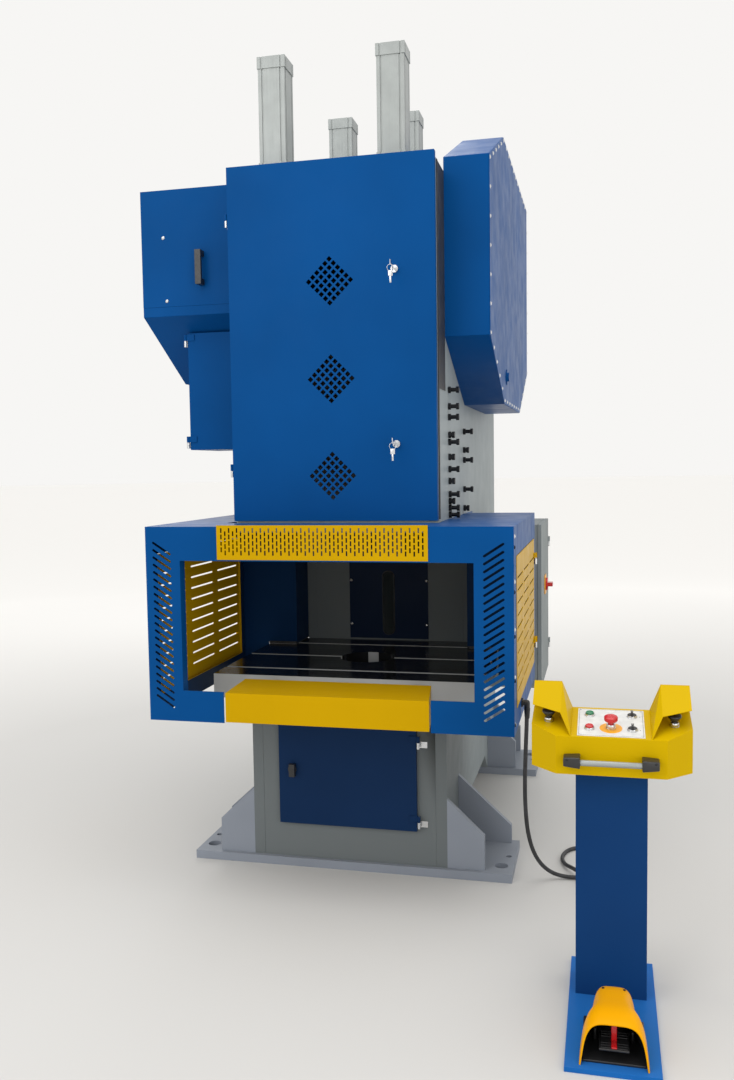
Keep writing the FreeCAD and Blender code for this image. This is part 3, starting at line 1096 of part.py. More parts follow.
def side_door_leaf(side, face):
    """Yellow side door of the guard with rows of long slots."""
    inner = face - side * (SIDE_DOOR_T - 2)
    outer = face + side * 2
    leaf = box(sorted((inner, outer)), (SIDE_DOOR_Y[0] + EDGE_GAP, SIDE_DOOR_Y[1] - EDGE_GAP),
               (SIDE_DOOR_Z[0] + EDGE_GAP, SIDE_DOOR_Z[1] - EDGE_GAP))
    room = box(sorted((inner - side, outer - side * SHEET)),
               (SIDE_DOOR_Y[0] + EDGE_GAP + SHEET, SIDE_DOOR_Y[1] - EDGE_GAP - SHEET),
               (SIDE_DOOR_Z[0] + EDGE_GAP + SHEET, SIDE_DOOR_Z[1] - EDGE_GAP - SHEET))
    length = (SIDE_DOOR_Y[1] - SIDE_DOOR_Y[0]) / SIDE_SLOT_COLUMNS
    slots = []
    for column in range(SIDE_SLOT_COLUMNS):
        y = SIDE_DOOR_Y[0] + (column + 0.5) * length
        for row in range(SIDE_SLOT_ROWS):
            z = SIDE_DOOR_Z[0] + 58 + row * 46
            slots.append(slot_cutter(length - 55, 13, 30, (face, y, z), 0, "x"))
    return leaf.cut([room] + slots)


# ================================================================ control stand
def console_place(shape):
    """Set a shape made on the level deck onto the tilted console deck."""
    shape.rotate(V(0, 0, 0), X_AXIS, CONSOLE_TILT)
    shape.translate(V(CONSOLE_X, CONSOLE_Y, CONSOLE_Z[1]))
    return shape


def control_stand():
    """Base plate and hollow column welded together."""
    base = box(STAND_BASE_X, STAND_BASE_Y, (0, STAND_BASE_T))
    half = STAND_COLUMN[0] / 2.0
    y = (STAND_COLUMN_Y, STAND_COLUMN_Y + STAND_COLUMN[1])
    z = (STAND_BASE_T, CONSOLE_Z[0])
    column = box((STAND_X - half, STAND_X + half), y, z)
    hollow = box((STAND_X - half + SHEET, STAND_X + half - SHEET), (y[0] + SHEET, y[1] - SHEET),
                 (z[0] - 1, z[1] + 1))
    cable_hole = cylinder(7, (STAND_X, y[1] - 10, STAND_GLAND_Z), Y_AXIS, 20)
    return fuse([base, column.cut(hollow).cut(cable_hole)])


def hood_wall(points, toward):
    """Flat sheet from its corner points, thickened towards a given side."""
    corners = [V(*p) for p in points]
    face = Part.Face(Part.makePolygon(corners + corners[:1]))
    normal = face.normalAt(0, 0)
    if normal.dot(V(*toward)) < 0:
        normal = -normal
    return face.extrude(normal * CONSOLE_SHEET)


def hood(side):
    """Folded hood over one palm button: leaning inner wall, sloping roof and back."""
    rear, (v_in, v_out) = CONSOLE_DEPTH, HOOD_FRONT_V
    foot_u, top_u = side * HOOD_INNER_U[0], side * HOOD_INNER_U[1]
    outer_u = side * HOOD_OUTER_U
    slope = (HOOD_TOP_W - HOOD_FRONT_W) / (rear - v_in)
    roof_w = lambda v: HOOD_FRONT_W + slope * (v - v_in)
    outwards = (side, 0, 0)
    inner_rear = hood_wall([(foot_u, 0, 0), (foot_u, rear, 0), (top_u, rear, HOOD_TOP_W)], outwards)
    inner_front = hood_wall([(foot_u, 0, 0), (top_u, rear, HOOD_TOP_W), (top_u, v_in, HOOD_FRONT_W)],
                            outwards)
    roof = hood_wall([(top_u, v_in, HOOD_FRONT_W), (top_u, rear, HOOD_TOP_W),
                      (outer_u, rear, HOOD_TOP_W), (outer_u, v_out, roof_w(v_out))], (0, 0, -1))
    back = hood_wall([(foot_u, rear, 0), (top_u, rear, HOOD_TOP_W), (outer_u, rear, HOOD_TOP_W),
                      (outer_u, rear, 0)], (0, -1, 0))
    return [inner_rear, inner_front, roof, back]


def console():
    """Sheet console with chamfered corners, a tilted deck and two hoods."""
    plan = [(-CONSOLE_FRONT_HALF, 0), (CONSOLE_FRONT_HALF, 0), (CONSOLE_HALF, CONSOLE_CHAMFER),
            (CONSOLE_HALF, CONSOLE_DEPTH), (-CONSOLE_HALF, CONSOLE_DEPTH), (-CONSOLE_HALF, CONSOLE_CHAMFER)]
    low, high = CONSOLE_Z[0] - CONSOLE_Z[1], 90.0
    above = Part.makeBox(1000, 1000, 300, V(-500, -300, 0))
    above.rotate(V(0, 0, 0), X_AXIS, CONSOLE_TILT)
    below_sheet = above.copy()
    below_sheet.translate(V(0, 0, -CONSOLE_SHEET))
    outer = prism(plan, "xy", low, high).cut(above)
    room = prism(inset(plan, CONSOLE_SHEET), "xy", low + CONSOLE_SHEET, high).cut(below_sheet)
    shell = outer.cut(room)
    mouth = box((-STAND_COLUMN[0] / 2 + 20, STAND_COLUMN[0] / 2 - 20), (CONSOLE_CHAMFER + 60, CONSOLE_DEPTH - 20),
                (low - 1, low + CONSOLE_SHEET + 1))
    shell = shell.cut(mouth)
    shell.translate(V(CONSOLE_X, CONSOLE_Y, CONSOLE_Z[1]))
    hoods = [console_place(sheet) for side in (-1, 1) for sheet in hood(side)]
    holes = [console_place(cylinder(BUTTON_STEM_R + RUNNING_FIT, (u, v, -20), Z_AXIS, 40))
             for u, v in [(-BUTTON_U, BUTTON_ROWS[0]), (-BUTTON_U, BUTTON_ROWS[1]), (0, STOP_V),
                          (BUTTON_U, BUTTON_ROWS[0]), (BUTTON_U, BUTTON_ROWS[1]), (-PALM_U, PALM_V),
                          (PALM_U, PALM_V)]]
    return fuse([shell] + hoods).cut(holes)


def legend_plate():
    """White plate on the deck that carries the controls."""
    plate = box((-LEGEND_HALF_X, LEGEND_HALF_X), LEGEND_V, (0, LEGEND_T))
    spots = [(-BUTTON_U, BUTTON_ROWS[0]), (-BUTTON_U, BUTTON_ROWS[1]), (0, STOP_V),
             (BUTTON_U, BUTTON_ROWS[0]), (BUTTON_U, BUTTON_ROWS[1])]
    plate = plate.cut([cylinder(BUTTON_STEM_R + RUNNING_FIT, (u, v, -1), Z_AXIS, 5) for u, v in spots])
    return console_place(plate)


def button_bezels():
    """Chromed rings that hold the push buttons, switches and palm buttons."""
    rings = []
    spots = [(-BUTTON_U, BUTTON_ROWS[0]), (-BUTTON_U, BUTTON_ROWS[1]),
             (BUTTON_U, BUTTON_ROWS[0]), (BUTTON_U, BUTTON_ROWS[1])]
    for u, v in spots:
        ring = tube(BUTTON_R + 1.5, BUTTON_R - 2 + RUNNING_FIT, (u, v, LEGEND_T), Z_AXIS, 7)
        rings.append(console_place(ring))
    for u, v, start in ((0, STOP_V, LEGEND_T), (-PALM_U, PALM_V, 0), (PALM_U, PALM_V, 0)):
        ring = tube(BUTTON_R, BUTTON_STEM_R + RUNNING_FIT, (u, v, start), Z_AXIS, 14)
        rings.append(console_place(ring))
    return group(rings)


def push_button(u, v):
    """Flat push button in its bezel."""
    cap = cylinder(BUTTON_R - 2, (u, v, LEGEND_T + 6), Z_AXIS, 5)
    stem = cylinder(BUTTON_STEM_R, (u, v, -12), Z_AXIS, 20)
    return console_place(fuse([cap, stem]))


def selector(u, v):
    """Two-position selector switch with a raised grip."""
    cap = cylinder(BUTTON_R - 2, (u, v, LEGEND_T + SEAT_GAP), Z_AXIS, 8)
    grip = box((u - 3.5, u + 3.5), (v - 11, v + 11), (LEGEND_T + 7, LEGEND_T + 18))
    stem = cylinder(BUTTON_STEM_R, (u, v, -12), Z_AXIS, 16)
    return console_place(fuse([cap, grip, stem]))


def mushroom(u, v, start, head_r):
    """Mushroom button: stem, neck and domed head."""
    top = start + 14 + 7
    stem = cylinder(BUTTON_STEM_R, (u, v, -12), Z_AXIS, top + 14)
    head = Part.makeCone(head_r - 7, head_r, 9, V(u, v, top), Z_AXIS)
    rim = cylinder(head_r, (u, v, top + 9), Z_AXIS, 4)
    ball_r = (head_r ** 2 + 6 ** 2) / 12.0
    dome = Part.makeSphere(ball_r, V(u, v, top + 13 + 6 - ball_r))
    dome = dome.common(cylinder(head_r + 1, (u, v, top + 13), Z_AXIS, 7))
    return console_place(fuse([stem, head, rim, dome]))


def console_handle():
    """Round bar in two end brackets on the console's front."""
    z = CONSOLE_Z[0] + HANDLE_RISE
    y = CONSOLE_Y - 34
    bar = cylinder(HANDLE_R, (CONSOLE_X - HANDLE_HALF + 20, y, z), X_AXIS, 2 * HANDLE_HALF - 40)
    parts = [bar]
    for side in (-1, 1):
        x = sorted((CONSOLE_X + side * (HANDLE_HALF - 48), CONSOLE_X + side * HANDLE_HALF))
        outline = [(CONSOLE_Y, z + 20), (y - 13, z + 12), (y - 13, z - 12), (y + 4, z - 14), (CONSOLE_Y, z - 6)]
        bracket = prism(outline, "yz", x[0], x[1])
        parts.append(bracket.cut(cylinder(HANDLE_R + 0.02, (CONSOLE_X - HANDLE_HALF + 20, y, z), X_AXIS,
                                          2 * HANDLE_HALF - 40)))
    return group(parts)


def pedal_hood():
    """Foot switch: base, sloping hood with an arched mouth, and the rear switch body."""
    (y0, y1), z0 = PEDAL_Y, STAND_BASE_T
    base = box((PEDAL_X - PEDAL_HALF + 8, PEDAL_X + PEDAL_HALF - 8), (y0 + 18, y1), (z0, z0 + 7))
    side_line = [(y0, z0), (y0 + 8, z0 + 132), (y0 + 95, z0 + 142), (y1 - 88, z0 + 112), (y1 - 12, z0 + 92),
                 (y1, z0 + 78), (y1, z0)]
    plan = [(PEDAL_X - PEDAL_HALF, y0 - 5), (PEDAL_X + PEDAL_HALF, y0 - 5), (PEDAL_X + PEDAL_HALF, y0 + 75),
            (PEDAL_X + 53, y1 - 92), (PEDAL_X + 53, y1 - 24), (PEDAL_X + 32, y1),
            (PEDAL_X - 32, y1), (PEDAL_X - 53, y1 - 24), (PEDAL_X - 53, y1 - 92),
            (PEDAL_X - PEDAL_HALF, y0 + 75)]
    width = (PEDAL_X - PEDAL_HALF, PEDAL_X + PEDAL_HALF)
    arch_z = z0 + 95
    arch = fuse([box(width, (y0 - 10, y1 + 10), (z0 - 1, z0 + 60)),
                 Part.makeCylinder(PEDAL_HALF, y1 - y0 + 20, V(PEDAL_X, y0 - 10, z0 + 60), Y_AXIS)])
    arch = fuse([arch, box((PEDAL_X - 70, PEDAL_X + 70), (y0 - 10, y1 + 10), (z0 + 60, z0 + 160))])
    outer = prism(side_line, "yz", width[0], width[1]).common(prism(plan, "xy", z0, z0 + 160)).common(arch)
    room = prism([(y0 - 20, z0 - 1), (y0 - 20, z0 + 122), (y0 + 90, z0 + 128), (y1 - 98, z0 + 100),
                  (y1 - 98, z0 - 1)], "yz", width[0] + 6, width[1] - 6)
    room = room.common(fuse([box((width[0] + 6, width[1] - 6), (y0 - 30, y1), (z0 - 2, z0 + 50)),
                             Part.makeCylinder(PEDAL_HALF - 8, y1 - y0, V(PEDAL_X, y0 - 30, z0 + 50), Y_AXIS)]))
    room = room.common(prism(inset(plan, 6), "xy", z0 - 2, z0 + arch_z + 60).fuse(
        box((width[0] + 6, width[1] - 6), (y0 - 30, y0 + 60), (z0 - 2, z0 + 160))))
    return group([base.cut(outer.cut(room)), outer.cut(room)])


PEDAL_PIVOT_Y = PEDAL_Y[1] - 112.0
PEDAL_PIVOT_Z = STAND_BASE_T + 26.0


def pedal_treadle():
    """Ribbed treadle on its cross pin, with the safety lever that stands on it."""
    z0 = PEDAL_PIVOT_Z
    plate = box((PEDAL_X - 42, PEDAL_X + 42), (PEDAL_Y[0] + 22, PEDAL_PIVOT_Y), (z0 + 8, z0 + 14))
    ribs = [box((PEDAL_X - 38, PEDAL_X + 38), (PEDAL_Y[0] + 28 + 12 * k, PEDAL_Y[0] + 33 + 12 * k),
                (z0 + 14, z0 + 16)) for k in range(5)]
    arms = [box(sorted((PEDAL_X + s * 30, PEDAL_X + s * 42)), (PEDAL_PIVOT_Y - 40, PEDAL_PIVOT_Y + 8),
                (z0 - 8, z0 + 9)) for s in (-1, 1)]
    lever = box((PEDAL_X - 8, PEDAL_X + 8), (PEDAL_Y[0] + 62, PEDAL_Y[0] + 70), (z0 + 13, z0 + 72))
    pin = cylinder(5, (PEDAL_X - 44, PEDAL_PIVOT_Y, z0), X_AXIS, 88)
    return fuse([plate, lever, pin] + ribs + arms)


def pedal_bearings():
    """Two lugs on the foot switch base that carry the treadle's pin."""
    lugs = []
    for side in (-1, 1):
        x = sorted((PEDAL_X + side * 43, PEDAL_X + side * 49))
        lug = box(x, (PEDAL_PIVOT_Y - 11, PEDAL_PIVOT_Y + 11), (STAND_BASE_T + 7, PEDAL_PIVOT_Z + 10))
        lugs.append(lug.cut(cylinder(5 + RUNNING_FIT, (PEDAL_X - 60, PEDAL_PIVOT_Y, PEDAL_PIVOT_Z), X_AXIS, 120)))
    return lugs


def foot_switch():
    """Foot switch hood, base and pin lugs."""
    return group(pedal_hood().Solids + pedal_bearings())


# ================================================================ cable
def rounded_route(points):
    """Straight runs joined by the largest tangent arcs that their lengths allow."""
    corners = [V(*p) for p in points]
    edges, radii, last = [], [], corners[0]
    for before, corner, after in zip(corners, corners[1:], corners[2:]):
        back, ahead = (before - corner), (after - corner)
        reach = 0.45 * min(back.Length, ahead.Length)
        back.normalize()
        ahead.normalize()
        half_turn = (math.pi - back.getAngle(ahead)) / 2.0
        radius = reach / math.tan(half_turn)
        centre_way = back + ahead
        centre_way.normalize()
        centre = corner + centre_way * math.hypot(radius, reach)
        start, stop = corner + back * reach, corner + ahead * reach
        edges.append(Part.LineSegment(last, start).toShape())
        edges.append(Part.Arc(start, centre - centre_way * radius, stop).toShape())
        radii.append(radius)
        last = stop
    edges.append(Part.LineSegment(last, corners[-1]).toShape())
    return Part.Wire(edges), radii


def cable():
    """Control cable from the press to the stand."""
    path, radii = rounded_route(CABLE_ROUTE)
    start = V(*CABLE_ROUTE[0])
    way = V(*CABLE_ROUTE[1]) - start
    ring = Part.Wire(Part.makeCircle(CABLE_R, start, way))
    solid = path.makePipeShell([ring], True, False)
    length = path.Length
    print("cable length %.0f mm, radii %.0f to %.0f mm" % (length, min(radii), max(radii)))
    print("cable radii:", " ".join("%.0f" % r for r in radii))
    print("cable volume ratio %.4f" % (solid.Volume / (math.pi * CABLE_R ** 2 * length)))
    return solid


def cable_glands():
    """Elbow gland on the guard and straight gland on the column."""
    x = GUARD_X[1]
    reach, low = CABLE_ROUTE[0][0], CABLE_ROUTE[0][2] + SEAT_GAP
    elbow = fuse([hexagon(30, (x, GLAND_Y, GLAND_Z), X_AXIS, 7),
                  cylinder(11, (x, GLAND_Y, GLAND_Z), X_AXIS, reach - x),
                  Part.makeSphere(11, V(reach, GLAND_Y, GLAND_Z)),
                  cylinder(11, (reach, GLAND_Y, low), Z_AXIS, GLAND_Z - low)])
    rear = STAND_COLUMN_Y + STAND_COLUMN[1]
    end = CABLE_ROUTE[-1][1] - 2.5 * SEAT_GAP
    straight = fuse([hexagon(26, (STAND_X, rear, STAND_GLAND_Z), Y_AXIS, 8),
                     cylinder(11, (STAND_X, rear, STAND_GLAND_Z), Y_AXIS, end - rear)])
    return group([elbow, straight])


# ================================================================ assembly
def build():
    """Every node's shape by name."""
    nodes = {
        "side_plates": side_plates(), "cross_plates": cross_plates(), "foot_plates": foot_plates(),
        "bolster": bolster(), "throat_panel": throat_panel(), "gibs": gibs(), "gib_screws": gib_screws(),
        "shaft_bushes": shaft_bushes(), "crankshaft": crankshaft(), "bull_gear": bull_gear(),
        "con_rod": con_rod(), "ball_screw": ball_screw(), "ram": ram(), "shank_clamp": shank_clamp(),
        "balance_beam": balance_beam(), "balance_rods": balance_rods(),
        "balance_cylinders": balance_cylinders(), "drive_shaft": drive_shaft(),
        "brake_housing": brake_housing(), "flywheel": flywheel(), "motor": motor(),
        "motor_pulley": motor_pulley(), "drive_belts": drive_belts(),
        "flywheel_cover": flywheel_cover(), "flywheel_cover_plate": flywheel_cover_plate(),
        "cover_screws": cover_screws(), "brake_cover": brake_cover(), "brake_hatch": brake_hatch(),
        "left_cabinet": left_cabinet(), "upper_lock": door_lock(LOCK_Z[1]), "lower_lock": door_lock(LOCK_Z[0]),
        "pedestal_latch": pedestal_latch(), "electrical_cabinet": electrical_cabinet(),
        "switch_handle": switch_handle(), "guard_frame": guard_frame(),
        "perforated_panel": perforated_panel(), "front_tray": front_tray(),
        "control_stand": control_stand(), "console": console(), "legend_plate": legend_plate(),
        "button_bezels": button_bezels(),
        "green_button": push_button(-BUTTON_U, BUTTON_ROWS[1]),
        "red_button": push_button(-BUTTON_U, BUTTON_ROWS[0]),
        "selector_rear": selector(BUTTON_U, BUTTON_ROWS[1]),
        "selector_front": selector(BUTTON_U, BUTTON_ROWS[0]),
        "emergency_stop": mushroom(0, STOP_V, LEGEND_T, 20), "palm_button_left": mushroom(-PALM_U, PALM_V, 0, 20),
        "palm_button_right": mushroom(PALM_U, PALM_V, 0, 20), "console_handle": console_handle(),
        "foot_switch": foot_switch(), "foot_treadle": pedal_treadle(),
        "control_cable": cable(), "cable_glands": cable_glands(),
    }
    nodes.update(doors_and_hinges())
    return nodes


def main():
    """Write one STEP file for each node."""
    os.makedirs("parts", exist_ok=True)
    for name, shape in build().items():
        shape.exportStep("parts/" + name + ".step")
        if not shape.isValid():
            print("invalid shape:", name)


main()
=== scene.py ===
"""Looks of a gap-frame mechanical press with a free-standing two-hand control console.

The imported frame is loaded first. Each sub-assembly class then dresses its own CAD nodes or
models the pieces that stand for them, and the studio class sets the floor, lights and camera.
"""

import logging
import math
from dataclasses import dataclass, field
from typing import Callable, Iterable, Sequence

import bpy
from mathutils import Matrix, Vector


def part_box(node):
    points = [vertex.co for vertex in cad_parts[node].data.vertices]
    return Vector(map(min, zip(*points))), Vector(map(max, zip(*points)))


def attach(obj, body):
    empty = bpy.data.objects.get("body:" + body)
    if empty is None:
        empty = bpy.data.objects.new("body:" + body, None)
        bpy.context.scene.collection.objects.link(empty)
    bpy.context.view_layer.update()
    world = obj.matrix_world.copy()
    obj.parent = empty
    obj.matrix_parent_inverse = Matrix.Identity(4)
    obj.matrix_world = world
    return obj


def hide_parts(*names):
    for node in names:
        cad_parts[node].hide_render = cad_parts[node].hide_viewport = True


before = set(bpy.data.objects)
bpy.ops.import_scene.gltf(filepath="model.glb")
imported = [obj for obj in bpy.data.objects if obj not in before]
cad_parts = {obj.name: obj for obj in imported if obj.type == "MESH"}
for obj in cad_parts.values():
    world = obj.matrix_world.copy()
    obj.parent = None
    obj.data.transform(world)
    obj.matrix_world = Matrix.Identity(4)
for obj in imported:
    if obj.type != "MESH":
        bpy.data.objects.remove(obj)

LOG = logging.getLogger("press")
MM = 0.001

Point = tuple[float, float, float]
Colour = tuple[float, float, float]
Pair = tuple[float, float]
Grain = Pair
Profile = tuple[Pair, ...]
Rule = Callable[[Vector, Vector], bool]
Piece = bpy.types.Object
Socket = bpy.types.NodeSocket
Sockets = bpy.types.bpy_prop_collection

# Edges and angles of the copied sheet-metal and plate pieces, the angles in degrees.
DOUBLES = 0.01 * MM
FLAT_ANGLE = 0.5
SHARP_ANGLE = 30.0
SKIN_SMOOTH = 50.0
CORNER_WEIGHT = 100

# A face looks along an axis when that part of its normal is above this.
FACING = 0.9

# Domed screw: shares of its radius and height, then the rim and depth of its socket.
DOME = ((1.0, 0.0), (1.0, 0.2), (0.86, 0.7), (0.6, 1.0))
DOME_SIDES = 20
DOME_FLAT = 0.9
SOCKET_RIM = 0.16
SOCKET_DEPTH = 0.5


# ---------------------------------------------------------------- materials
class Graph:
    """Small wrapper that wires one procedural material."""

    def __init__(self, name: str) -> None:
        """Start a material with only its output and shader.

        Args:
            name: Name of the finish.
        """
        self.material = bpy.data.materials.new(name)
        self.material.use_nodes = True
        self.nodes = self.material.node_tree.nodes
        self.links = self.material.node_tree.links
        self.nodes.clear()
        self.output = self.nodes.new("ShaderNodeOutputMaterial")
        self.shader = self.nodes.new("ShaderNodeBsdfPrincipled")
        self.links.new(self.shader.outputs["BSDF"], self.output.inputs["Surface"])
        self.place = self.nodes.new("ShaderNodeTexCoord").outputs["Object"]

    def set(self, **values: object) -> None:
        """Set shader sockets by name, with underscores for spaces."""
        for key, value in values.items():
            self.shader.inputs[key.replace("_", " ")].default_value = value

    def stretch(self, scale: Point, turn: Point = (0.0, 0.0, 0.0)) -> Socket:
        """Object coordinates scaled and turned.

        Args:
            scale: Scale along each axis.
            turn: Euler turn in radians.

        Returns:
            The vector socket.
        """
        node = self.nodes.new("ShaderNodeMapping")
        node.inputs["Scale"].default_value = scale
        node.inputs["Rotation"].default_value = turn
        self.links.new(self.place, node.inputs["Vector"])
        return node.outputs["Vector"]

    def noise(self, scale: float, detail: float = 2.0, vector: Socket | None = None,
              roughness: float = 0.5) -> Socket:
        """Fractal noise.

        Args:
            scale: Features for each metre.
            detail: Octaves.
            vector: Coordinates, or object coordinates.
            roughness: Weight of the finer octaves.

        Returns:
            The factor socket.
        """
        node = self.nodes.new("ShaderNodeTexNoise")
        node.inputs["Scale"].default_value = scale
        node.inputs["Detail"].default_value = detail
        node.inputs["Roughness"].default_value = roughness
        self.links.new(vector or self.place, node.inputs["Vector"])
        return node.outputs["Fac"]

    def cells(self, scale: float) -> Socket:
        """Distance to the nearest cell point, for grains and castings.

        Args:
            scale: Cells for each metre.

        Returns:
            The distance socket.
        """
        node = self.nodes.new("ShaderNodeTexVoronoi")
        node.inputs["Scale"].default_value = scale
        self.links.new(self.place, node.inputs["Vector"])
        return node.outputs["Distance"]

    def ramp(self, factor: Socket, stops: Sequence[tuple[float, Colour]]) -> Socket:
        """Colour ramp.

        Args:
            factor: Input factor.
            stops: Position and colour pairs.

        Returns:
            The colour socket.
        """
        node = self.nodes.new("ShaderNodeValToRGB")
        node.color_ramp.interpolation = "LINEAR"
        elements = node.color_ramp.elements
        while len(elements) < len(stops):
            elements.new(0.5)
        for element, (position, colour) in zip(elements, stops):
            element.position = position
            element.color = (*colour, 1.0)
        self.links.new(factor, node.inputs["Fac"])
        return node.outputs["Color"]

    def mottle(self, factor: Socket, colour: Colour, low: float, high: float,
               start: float = 0.3, stop: float = 0.7) -> Socket:
        """Colour that drifts between two tones of itself.

        Args:
            factor: Input factor.
            colour: Middle tone.
            low: Multiplier at the start.
            high: Multiplier at the stop.
            start: Lower end of the input.
            stop: Upper end of the input.

        Returns:
            The colour socket.
        """
        return self.ramp(factor, [(start, shade(colour, low)), (stop, shade(colour, high))])

    def spread(self, factor: Socket, low: float, high: float,
               start: float = 0.3, stop: float = 0.7) -> Socket:
        """Map a factor onto a range.

        Args:
            factor: Input factor.
            low: Result at the start.
            high: Result at the stop.
            start: Lower end of the input.
            stop: Upper end of the input.

        Returns:
            The value socket.
        """
        node = self.nodes.new("ShaderNodeMapRange")
        for name, value in (("From Min", start), ("From Max", stop), ("To Min", low), ("To Max", high)):
            node.inputs[name].default_value = value
        self.links.new(factor, node.inputs["Value"])
        return node.outputs["Result"]

    def math(self, operation: str, first: object, second: object = 0.0) -> Socket:
        """One arithmetic node.

        Args:
            operation: Blender's name of the operation.
            first: Socket or number.
            second: Socket or number.

        Returns:
            The value socket.
        """
        node = self.nodes.new("ShaderNodeMath")
        node.operation = operation
        for socket, value in zip(node.inputs, (first, second)):
            if isinstance(value, (int, float)):
                socket.default_value = value
            else:
                self.links.new(value, socket)
        return node.outputs["Value"]

    def split(self, vector: Socket | None = None) -> Sockets:
        """X, Y and Z of a vector.

        Args:
            vector: Vector socket, or none for the object coordinates.

        Returns:
            The three value sockets.
        """
        node = self.nodes.new("ShaderNodeSeparateXYZ")
        self.links.new(vector or self.place, node.inputs["Vector"])
        return node.outputs

    def facing(self) -> Sockets:
        """X, Y and Z of the surface's own direction."""
        geometry = self.nodes.new("ShaderNodeNewGeometry")
        return self.split(geometry.outputs["Normal"])

    def mix(self, factor: Socket, first: object, second: object) -> Socket:
        """Blend of two colours.

        Args:
            factor: Share of the second.
            first: Socket or colour.
            second: Socket or colour.

        Returns:
            The colour socket.
        """
        node = self.nodes.new("ShaderNodeMix")
        node.data_type = "RGBA"
        self.links.new(factor, node.inputs["Factor"])
        for name, value in (("A", first), ("B", second)):
            socket = [s for s in node.inputs if s.name == name and s.type == "RGBA"][0]
            if isinstance(value, tuple):
                socket.default_value = (*value, 1.0)
            else:
                self.links.new(value, socket)
        return [s for s in node.outputs if s.type == "RGBA"][0]

    def bump(self, *layers: tuple[Socket, float]) -> None:
        """Stack height layers onto the shader's normal.

        Args:
            layers: Height socket and depth in metres.
        """
        below = None
        for height, depth in layers:
            node = self.nodes.new("ShaderNodeBump")
            node.inputs["Strength"].default_value = 1.0
            node.inputs["Distance"].default_value = depth
            self.links.new(height, node.inputs["Height"])
            if below is not None:
                self.links.new(below, node.inputs["Normal"])
            below = node.outputs["Normal"]
        self.links.new(below, self.shader.inputs["Normal"])

    def colour(self, socket: Socket) -> None:
        """Use a socket as the base colour."""
        self.links.new(socket, self.shader.inputs["Base Color"])

    def rough(self, socket: Socket) -> None:
        """Use a socket as the roughness."""
        self.links.new(socket, self.shader.inputs["Roughness"])


def shade(colour: Colour, factor: float) -> Colour:
    """Colour made lighter or darker."""
    return tuple(min(1.0, channel * factor) for channel in colour)


def about(middle: float, ends: Pair) -> Pair:
    """Range set out from a middle value."""
    return middle + ends[0], middle + ends[1]


@dataclass(frozen=True)
class Paint:
    """Sprayed enamel with orange peel, soft tone changes and dust on level faces.

    Each Grain is a noise's scale for each metre and its octaves. The painted shade values make the paint
    below a height darker, on the outer faces only towards the front: a painted shade for the shadow under
    the guard and in the throat.
    """

    name: str
    colour: Colour
    roughness: float = 0.34
    peel: float = 0.06 * MM
    peel_scale: float = 260.0
    variation: float = 0.10
    dust: float = 0.08
    dust_colour: Colour = (0.42, 0.42, 0.41)
    gloss: float = 0.05
    cloud: Grain = (1.7, 3.0)
    patches: Grain = (9.0, 4.0)
    sheen: Grain = (11.0, 3.0)
    wave: Grain = (5.0, 1.0)
    wave_depth: float = 0.3 * MM
    level: Pair = (0.7, 1.0)
    patch_range: Pair = (0.4, 1.0)
    sheen_range: Pair = (-0.05, 0.06)
    painted_shade_tone: float = 1.0
    painted_shade_top: Pair = (1.34, 1.44)
    painted_shade_half: float = 0.4095
    painted_shade_fade: Pair = (-0.55, 0.05)
    painted_shade_rear: Pair = (0.05, 0.20)

    def paint_shade(self, graph: Graph, tone: Socket) -> Socket:
        """Painted shade: the lower, front part of the paint in a darker tone, for the shadow under the guard
        and in the throat.

        Args:
            graph: Material being wired.
            tone: Colour of the rest.

        Returns:
            The colour socket.
        """
        place = graph.split()
        above = graph.spread(place["Z"], 0.0, 1.0, *self.painted_shade_top)
        outside = graph.math("GREATER_THAN", graph.math("ABSOLUTE", place["X"]), self.painted_shade_half)
        beside = graph.math("MULTIPLY", outside, graph.spread(place["Y"], 0.0, 1.0, *self.painted_shade_fade))
        behind = graph.math("MAXIMUM", beside, graph.spread(place["Y"], 0.0, 1.0, *self.painted_shade_rear))
        return graph.mix(graph.math("MAXIMUM", above, behind), shade(self.colour, self.painted_shade_tone), tone)

    def make(self) -> bpy.types.Material:
        """Build the material.

        Returns:
            The finished material.
        """
        graph = Graph(self.name)
        tone = graph.mottle(graph.noise(*self.cloud), self.colour, 1 - self.variation, 1 + self.variation)
        level = graph.spread(graph.facing()["Z"], 0.0, self.dust, *self.level)
        patchy = graph.math("MULTIPLY", level, graph.spread(graph.noise(*self.patches), *self.patch_range))
        # Painted shade below a height and in front, for the shadow under the guard.
        if self.painted_shade_tone < 1.0:
            tone = self.paint_shade(graph, tone)
        graph.colour(graph.mix(patchy, tone, self.dust_colour))
        graph.rough(graph.spread(graph.noise(*self.sheen), *about(self.roughness, self.sheen_range)))
        graph.set(Specular_IOR_Level=self.gloss)
        graph.bump((graph.noise(self.peel_scale), self.peel), (graph.noise(*self.wave), self.wave_depth))
        return graph.material


@dataclass(frozen=True)
class Steel:
    """Machined, ground or plated metal with a lay along one axis."""

    name: str
    colour: Colour
    roughness: float = 0.3
    lay: Point = (6.0, 420.0, 420.0)
    lay_octaves: float = 3.0
    lay_depth: float = 0.02 * MM
    stain: float = 0.25
    bright_share: float = 0.5
    stains: Grain = (16.0, 5.0)
    stain_window: Pair = (0.35, 0.65)
    sheen_range: Pair = (-0.07, 0.10)
    metallic: float = 1.0

    def make(self) -> bpy.types.Material:
        """Build the material.

        Returns:
            The finished material.
        """
        graph = Graph(self.name)
        grain = graph.noise(1.0, self.lay_octaves, graph.stretch(self.lay))
        graph.colour(graph.mottle(graph.noise(*self.stains), self.colour, 1 - self.stain,
                                  1 + self.bright_share * self.stain, *self.stain_window))
        graph.rough(graph.spread(grain, *about(self.roughness, self.sheen_range)))
        graph.set(Metallic=self.metallic)
        graph.bump((grain, self.lay_depth))
        return graph.material


